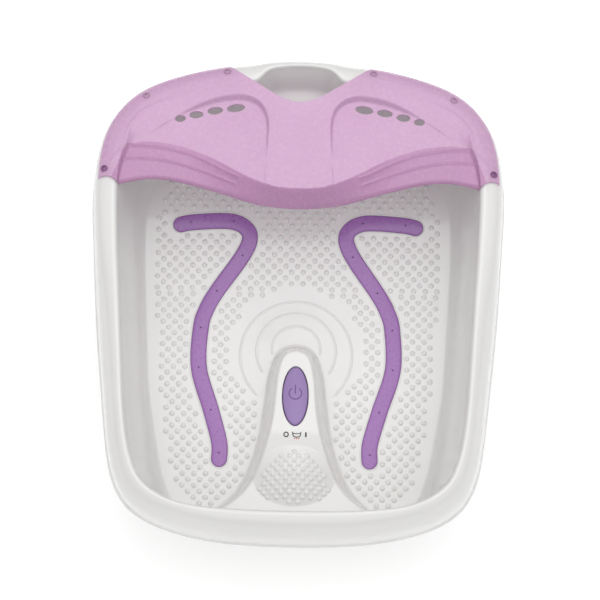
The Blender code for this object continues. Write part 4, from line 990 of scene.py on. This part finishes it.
# ---------------------------------------------------------------- splash guard
GUARD_DISH, GUARD_DROOP = 0.004, 0.016
GUARD_OUTER_SHARE, GUARD_RIM_SHARE = 0.29, 0.76
BAND_SHADE_SPREAD = 0.5  # how far the band's painted shade, a darker lilac, follows the crease outwards
GUARD_TURN_DOWN, GUARD_TURN_RUN = 0.0022, 0.0035  # its front edge turns down by this much over this run
GUARD_COLUMNS, GUARD_ROWS = 380, 160
GUARD_RIBS = [[(0.147, 0.1278), (0.1292, 0.1275), (0.1113, 0.1253), (0.0934, 0.1208), (0.0753, 0.1131),
               (0.0603, 0.1054), (0.0506, 0.1011)],
              [(0.1545, 0.1144), (0.1406, 0.1164), (0.1229, 0.1161), (0.105, 0.1134), (0.0871, 0.1086),
               (0.0721, 0.1036), (0.0602, 0.099), (0.0527, 0.0963)]]
GUARD_CREASE = [
    (0.1612, 0.1124), (0.1542, 0.1213), (0.1493, 0.1282), (0.1486, 0.1359), (0.147, 0.144),
    (0.1421, 0.1522), (0.1334, 0.1605), (0.1188, 0.1681), (0.104, 0.1724), (0.0891, 0.176),
]
SCOOP = [
    (0.1064, 0.1556), (0.0976, 0.1617), (0.0888, 0.1668), (0.077, 0.1724), (0.0651, 0.1757),
    (0.0532, 0.1771), (0.0442, 0.1759), (0.0366, 0.1721), (0.0305, 0.1654), (0.0274, 0.1573),
    (0.0264, 0.1492), (0.0266, 0.1411), (0.0271, 0.1314), (0.028, 0.1186),
]
SCOOP_DEPTH = [
    0.0004, 0.0022, 0.0038, 0.005, 0.0054, 0.0054, 0.0054, 0.0052, 0.0046, 0.004, 0.0034, 0.0028,
    0.0016, 0.0,
]
SCOOP_WALL = [
    0.0012, 0.002, 0.0032, 0.0042, 0.0046, 0.0046, 0.0042, 0.0038, 0.0032, 0.0028, 0.0024, 0.002,
    0.0016, 0.0012,
]
SCOOP_NEAR, SCOOP_REACH = 0.009, 0.060
RIB_RISE, RIB_SPREAD, RIB_START_FADE, RIB_END_FADE = 0.0011, 0.0009, 0.02, 0.06
CREASE_RISE, CREASE_SPREAD, CREASE_FADE = 0.0006, 0.0014, 0.35
EDGE_STEPS, EDGE_SHARE = 60, 0.22  # finer rows near its outer edge, over this share of its width


def guard_frame(angles):
    """Lip, rim's inner edge, front edge and band reaches along rays."""
    lip, inner = reach(LIP, angles), reach(RIM_INNER, angles)
    front = np.minimum(open_reach(GUARD_FRONT, angles), inner - 0.002)
    band = np.minimum(open_reach(GUARD_BAND, angles), inner)
    return lip, inner, front, band


def guard_base(x, y):
    """Height of the guard's top before its ribs, creases and scoops."""
    angles, r = to_polar(x, y)
    lip, inner, front, band_reach = guard_frame(angles)
    share = (lip - r) / (lip - inner)
    rim = rim_height(np.clip(share, 0, 1), angles)
    run = np.clip((inner - r) / (inner - front), 0, 1.2)
    band = np.minimum((inner - band_reach) / (inner - front), 0.9)
    panel = CREST_Z - GUARD_DISH * smooth(run / np.maximum(band, 0.2))
    droop = GUARD_DROOP * (1 - smooth(np.abs(angles) / GUARD_END_OUTER) ** 2)
    panel = panel - droop * np.maximum(0, (run - band) / (1 - band)) ** 1.15
    return np.where(share <= GUARD_RIM_SHARE, rim, panel) + GUARD_SEAT + GUARD_T


def nearest(curve, x, y):
    """Distance to a polyline, the share of the way along it, and which side the point is on."""
    best = np.full(x.shape, 1e9)
    along, side = np.zeros(x.shape), np.zeros(x.shape)
    count = len(curve) - 1
    for k, ((ax, ay), (bx, by)) in enumerate(zip(curve[:-1], curve[1:])):
        dx, dy = bx - ax, by - ay
        t = np.clip(((x - ax) * dx + (y - ay) * dy) / (dx * dx + dy * dy), 0, 1)
        distance = np.hypot(x - ax - t * dx, y - ay - t * dy)
        closer = distance < best
        best = np.where(closer, distance, best)
        along = np.where(closer, (k + t) / count, along)
        side = np.where(closer, np.sign(dx * (y - ay) - dy * (x - ax)), side)
    return best, along, side


def scoop_drop(x, y):
    """How far the hand scoop lies below the panel: a wall under its arc, then a slow rise back."""
    arc = spline(SCOOP, 8)
    distance, _, side = nearest(arc, np.abs(x), y)
    stops, places = np.linspace(0, 1, len(SCOOP_DEPTH)), np.linspace(0, 1, len(arc))
    total, depth, wall = np.zeros(x.shape), np.zeros(x.shape), np.zeros(x.shape)
    for (px, py), stop in zip(arc, places):
        weight = 1 / ((np.abs(x) - px) ** 2 + (y - py) ** 2 + 1e-8) ** 2
        total += weight
        depth += weight * np.interp(stop, stops, SCOOP_DEPTH)
        wall += weight * np.interp(stop, stops, SCOOP_WALL)
    depth, wall = depth / total, wall / total
    even = (total / len(arc)) ** -0.25  # a distance without the crease where the nearest point jumps
    fade = 1 - smooth((even - SCOOP_NEAR) / SCOOP_REACH)
    return np.where(side > 0, depth * smooth(distance / wall) * fade, 0)


def rib_rise(x, y):
    """Two fine ridges on the band and a soft step at the flange's crease."""
    total = np.zeros(x.shape)
    for rib in GUARD_RIBS:
        distance, along, _ = nearest(spline(rib, 8), np.abs(x), y)
        ends = smooth(along / RIB_START_FADE) * smooth((1 - along) / RIB_END_FADE)
        total += RIB_RISE * np.exp(-(distance / RIB_SPREAD) ** 2) * ends
    distance, along, _ = nearest(spline(GUARD_CREASE, 8), np.abs(x), y)
    fade = smooth((1 - along) / CREASE_FADE)
    return total + CREASE_RISE * fade * np.exp(-(distance / CREASE_SPREAD) ** 2)


def guard_skin(x, y):
    """Height of the guard's top without its fine ridges, which its underside does not have."""
    angles, r = to_polar(x, y)
    front = guard_frame(angles)[2]
    edge = np.clip(1 - (r - front) / GUARD_TURN_RUN, 0, 1)
    return guard_base(x, y) - scoop_drop(x, y) - GUARD_TURN_DOWN * edge ** 2


def guard_sheets():
    """Top and underside of the guard, as rows of points from its outer edge to its front edge."""
    columns = np.linspace(-1, 1, GUARD_COLUMNS)
    steps = np.concatenate([np.linspace(0, EDGE_SHARE, EDGE_STEPS)[:-1],
                            np.linspace(EDGE_SHARE, 1, GUARD_ROWS - EDGE_STEPS + 1)])
    top, under = [], []
    for step in steps:
        angles = columns * np.interp(step, *zip(*GUARD_END))
        lip, inner, front, _ = guard_frame(angles)
        outer = np.minimum(lip + (inner - lip) * GUARD_OUTER_SHARE, open_reach(GUARD_NOTCH, angles))
        r = outer + (front - outer) * step
        x, y = from_polar(angles, r)
        skin = guard_skin(x, y)
        top.append(np.stack([x, y, skin + rib_rise(x, y)], axis=1))
        under.append(np.stack([x, y, skin - GUARD_T], axis=1))
    return np.array(top), np.array(under)


def closed_sheet(name, top, under):
    """Closed mesh between two grids of points of the same shape."""
    rows, columns = top.shape[:2]
    index = np.arange(rows * columns).reshape(rows, columns)
    quads = np.stack([index[:-1, :-1], index[1:, :-1], index[1:, 1:], index[:-1, 1:]], axis=2)
    quads = quads.reshape(-1, 4)
    rim = np.concatenate([index[0, :-1], index[:-1, -1], index[-1, :0:-1], index[:0:-1, 0]])
    after = np.roll(rim, -1)
    count = rows * columns
    sides = np.stack([rim, after, after + count, rim + count], axis=1)
    data = bpy.data.meshes.new(name)
    data.from_pydata(np.concatenate([top, under]).reshape(-1, 3).tolist(), [],
                     np.concatenate([quads, quads[:, ::-1] + count, sides]).tolist())
    outward(data)
    return data


def vent_cutters():
    """Oval cutters for the row of vents in each scoop."""
    bm = bmesh.new()
    for side, _ in HANDS:
        for x, y, half_x, half_y in VENTS:
            middle = Matrix.Translation((side * x, y, CREST_Z)) @ Matrix.Rotation(-side * VENT_TURN, 4, "Z")
            rod(bm, middle @ Matrix.Diagonal((half_x, half_y, 1, 1)), 1, 0.05, 48)
    return object_from("vents", bm)


def seat_on_rim(x, y):
    """Placement on the rim at (x, y), with Z along its normal."""
    a, r = np.array([math.atan2(x, y - POLE_Y)]), math.hypot(x, y - POLE_Y)
    lip, inner = reach(LIP, a)[0], reach(RIM_INNER, a)[0]
    step = 0.002
    low, middle, high = (rim_height((lip - r + k * step) / (lip - inner), a[0]) for k in (-1, 0, 1))
    tilt = math.atan2(high - low, 2 * step)
    facing = Matrix.Rotation(-a[0], 4, "Z") @ Matrix.Rotation(-tilt, 4, "X")
    return Matrix.Translation((x, y, middle)) @ facing


def screw_hole_cutters():
    bm = bmesh.new()
    for side, _ in HANDS:
        for x, y in GUARD_SCREWS:
            middle = seat_on_rim(side * x, y) @ Matrix.Translation((0, 0, GUARD_SEAT))
            rod(bm, middle, SCREW_HOLE_R, 0.012, 24)
    return object_from("screw_holes", bm)


def make_guard(materials):
    guard = new_object("splash_guard_panel", closed_sheet("splash_guard_panel", *guard_sheets()))
    cut(guard, vent_cutters())
    cut(guard, screw_hole_cutters())
    sharp_edges(guard, 40)
    place(guard, "base", "guard", materials["guard"], "splash_guard")
    # The front band gets a darker lilac as painted shade.
    paint_band_shade(guard, materials["band"])


def paint_band_shade(guard, band_shade_material):
    """Gives the faces of the bent-down front band a darker lilac: painted shade, where the band bends down
    and turns from the light.
    """
    guard.data.materials.append(band_shade_material)
    count = len(guard.data.polygons)
    centres = np.empty(count * 3)
    guard.data.polygons.foreach_get("center", centres)
    x, y = centres.reshape(-1, 3)[:, 0], centres.reshape(-1, 3)[:, 1]
    angles, r = to_polar(x, y)
    (x0, y0), (x1, y1) = GUARD_CREASE[2], GUARD_CREASE[0]
    within = np.abs(x) < x0 + (y0 - y) * (x1 - x0) / (y0 - y1) * BAND_SHADE_SPREAD
    in_band_shade = (open_reach(GUARD_BAND, angles) > r) & within
    guard.data.polygons.foreach_set("material_index", in_band_shade.astype(int))


def make_guard_screws(materials):
    """Round-headed screws with a cross recess."""
    seat = GUARD_SEAT + GUARD_T
    profile = [(radius, seat + height) for radius, height in SCREW_HEAD]
    profile += [(SCREW_HEAD[-1][0], -SCREW_LENGTH), (0, -SCREW_LENGTH)]
    for side, hand in HANDS:
        for (x, y), name in zip(GUARD_SCREWS, GUARD_SCREW_NAMES):
            screw = new_object(f"cross_screw_{name}_{hand}", turned_mesh("cross_screw", profile, 36))
            for turn in (20, 110):
                bm = bmesh.new()
                top = Matrix.Translation((0, 0, seat + SCREW_HEAD[0][1]))
                slab(bm, top @ Matrix.Rotation(math.radians(turn), 4, "Z"), SCREW_RECESS)
                cut(screw, object_from("recess", bm))
            sharp_edges(screw, 35)
            screw.data.transform(seat_on_rim(side * x, y))
            finish = materials["pin"] if name == "side" else materials["pale_pin"]
            place(screw, "base", "pin", finish, f"guard_screw_{name}_{hand}")


# ---------------------------------------------------------------- lower housing
HOUSING_RAYS = 360
# Its rounded bottom edge: inset from the lip, and height.
HOUSING_EDGE = [(0.033, 0.0098), (0.0349, 0.0076), (0.0372, 0.0064)]
HOUSING_FLAT_INSET, HOUSING_FLAT_RINGS = 0.0015, (0.9, 0.7, 0.5, 0.3, 0.1, 0.01)
INTAKE_HALF_WIDTH, INTAKE_TAPER, INTAKE_PITCH, INTAKE_WIDTH, INTAKE_Z = 0.019, 0.0016, 0.0062, 0.003, 0.006


def make_housing(materials):
    """The lower housing: a thin shell with a flat foot and the blower's air intake."""
    angles = np.linspace(-math.pi, math.pi, HOUSING_RAYS, endpoint=False)
    lip = reach(LIP, angles)
    foot_inset, foot_z = HOUSING_SECTION[-1]
    section = [*spline(HOUSING_SECTION[:-1], 10), *HOUSING_EDGE, (foot_inset + HOUSING_FLAT_INSET, foot_z)]
    outer = [ring_at(angles, lip - inset, z) for inset, z in section]
    flat = lip - foot_inset - HOUSING_FLAT_INSET
    outer = np.array(outer + [ring_at(angles, flat * share, foot_z) for share in HOUSING_FLAT_RINGS])
    normals = grid_normals(outer)
    if normals[3, 0, 1] * (outer[3, 0, 1] - POLE_Y) < 0:
        normals = -normals
    inner = (outer - normals * WALL)[::-1][::2]
    data = grid_mesh("housing_shell", np.concatenate([outer, inner]), wrap_rows=True, wrap_columns=True)
    close_pole(data, len(outer) - 1, len(angles))
    outward(data)
    housing = new_object("housing_shell", data)
    bm = bmesh.new()
    for k in range(-3, 4):
        half = INTAKE_HALF_WIDTH - INTAKE_TAPER * abs(k)
        middle = Matrix.Translation((0, MOTOR_Y + INTAKE_PITCH * k, INTAKE_Z))
        slab(bm, middle, (2 * half, INTAKE_WIDTH, 2 * INTAKE_Z))
    cut(housing, object_from("slots", bm))
    sharp_edges(housing, 45)
    place(housing, "base", "shell", materials["housing"], "lower_housing")


# ---------------------------------------------------------------- return spring
SPRING_WIRE, SPRING_TURNS, SPRING_STEPS = 0.00045, 4, 96


def make_spring(materials):
    """Return spring under the button, as a fixed coil; the real one shortens as the button goes down."""
    low, high = (Vector(corner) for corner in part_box("button_spring"))
    middle = (low + high) / 2
    radius = (high.x - low.x) / 2 - SPRING_WIRE
    angles = np.linspace(0, math.tau * SPRING_TURNS, SPRING_STEPS + 1)
    heights = np.linspace(low.z + SPRING_WIRE, high.z - SPRING_WIRE, len(angles))
    x, y = middle.x + radius * np.cos(angles), middle.y + radius * np.sin(angles)
    line = np.column_stack([x, y, heights])
    upward = np.tile((0.0, 0.0, 1.0), (len(line), 1))  # the wire's section stands upright
    around = np.linspace(0, math.tau, 10, endpoint=False)
    section = [(SPRING_WIRE * math.cos(a), SPRING_WIRE * math.sin(a)) for a in around]
    spring = new_object("return_spring", swept("return_spring", line, upward, section))
    place(spring, "base", "steel", materials["steel"], "button_spring")
    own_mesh(spring)


# ---------------------------------------------------------------- pieces kept from the model
REPLACED = {"tub", "lower_housing", "splash_guard", "power_button", "button_spring"}


def dress_nodes(materials):
    """Gives every carried-over CAD piece its finish by its slot."""
    for row in frame["record"]["subparts"]:
        node, slot = row["node"], row["material_slot"]
        if node in REPLACED or node.startswith(("bubble_strip", "guard_screw")):
            continue
        obj = bpy.data.objects.get(node)
        finish = materials[slot]
        if not obj.material_slots:
            obj.data.materials.append(finish)
        for each in obj.material_slots:
            each.material = finish


# ---------------------------------------------------------------- stage, light and camera
DOME_LOW, DOME_HIGH = 0.04, 1.06
FLOOR_HALF_SIZE, STAGE_Z = 20.0, -0.0003
AIM = (0, 0, 0.1)
# Each lamp's place, diameter and power in watts.
LAMPS = {"key": ((0.05, 1.2, 1.8), 1.0, 1.8), "overhead": ((0.1, 0.1, 2.0), 1.6, 7.6),
         "front_fill": ((0.2, -1.6, 1.3), 1.4, 2.0)}


def make_stage():
    """A plain pale floor."""
    data = bpy.data.meshes.new("floor")
    corners = [(x * FLOOR_HALF_SIZE, y * FLOOR_HALF_SIZE, STAGE_Z)
               for x, y in ((-1, -1), (1, -1), (1, 1), (-1, 1))]
    data.from_pydata(corners, [], [(0, 1, 2, 3)])
    floor = new_object("floor", data)
    finish = node_material("pale_floor", (0.92, 0.92, 0.92), 0.9, Emission_Color=(1, 1, 1, 1),
                           Emission_Strength=0.3)
    vary_colour(finish, object_noise(finish, 3, 2), (0.91, 0.91, 0.91), (0.92, 0.92, 0.92))
    data.materials.append(finish)


def make_world():
    """A studio dome: brightest overhead, and dimmer towards the horizon."""
    world = bpy.data.worlds.new("studio")
    bpy.context.scene.world = world
    world.use_nodes = True
    background = world.node_tree.nodes["Background"]
    background.inputs["Color"].default_value = (1, 1, 1, 1)
    coordinates = add(world, "ShaderNodeTexCoord")
    height = add(world, "ShaderNodeSeparateXYZ")
    link(world, coordinates, "Generated", height, "Vector")
    strength = add(world, "ShaderNodeMapRange", To_Min=DOME_LOW, To_Max=DOME_HIGH)
    link(world, height, "Z", strength, "Value")
    link(world, strength, "Result", background, "Strength")


def make_lights():
    """Soft round lamps, aimed at the basin."""
    for name, (position, size, power) in LAMPS.items():
        data = bpy.data.lights.new(name, "AREA")
        data.shape = "DISK"
        data.size = size
        data.energy = power
        lamp = new_object(name, data)
        lamp.location = position
        lamp.rotation_euler = (Vector(AIM) - Vector(position)).to_track_quat("-Z", "Y").to_euler()


CAMERA_TARGET, CAMERA_DISTANCE = Vector((0.0027, -0.004, 0.155)), 1.9
CAMERA_ELEVATION, CAMERA_ROLL, CAMERA_LENS = math.radians(71), math.radians(0.95), 133.8


def make_camera():
    data = bpy.data.cameras.new("camera")
    data.lens = CAMERA_LENS
    data.sensor_width = 36
    camera = new_object("camera", data)
    back = Vector((0, -math.cos(CAMERA_ELEVATION), math.sin(CAMERA_ELEVATION)))
    facing = back.to_track_quat("Z", "Y").to_matrix().to_4x4()
    camera.matrix_world = (Matrix.Translation(CAMERA_TARGET + back * CAMERA_DISTANCE) @ facing
                           @ Matrix.Rotation(CAMERA_ROLL, 4, "Z"))
    bpy.context.scene.camera = camera


def main():
    bpy.context.scene.view_settings.view_transform = "Standard"
    make_camera()
    make_stage()
    make_world()
    make_lights()
    materials = make_materials()
    make_tub(materials)
    make_nodules(materials)
    make_rings(materials)
    make_strips(materials)
    make_button(materials)
    make_legend(materials)
    make_guard(materials)
    make_guard_screws(materials)
    make_housing(materials)
    make_spring(materials)
    dress_nodes(materials)


main()
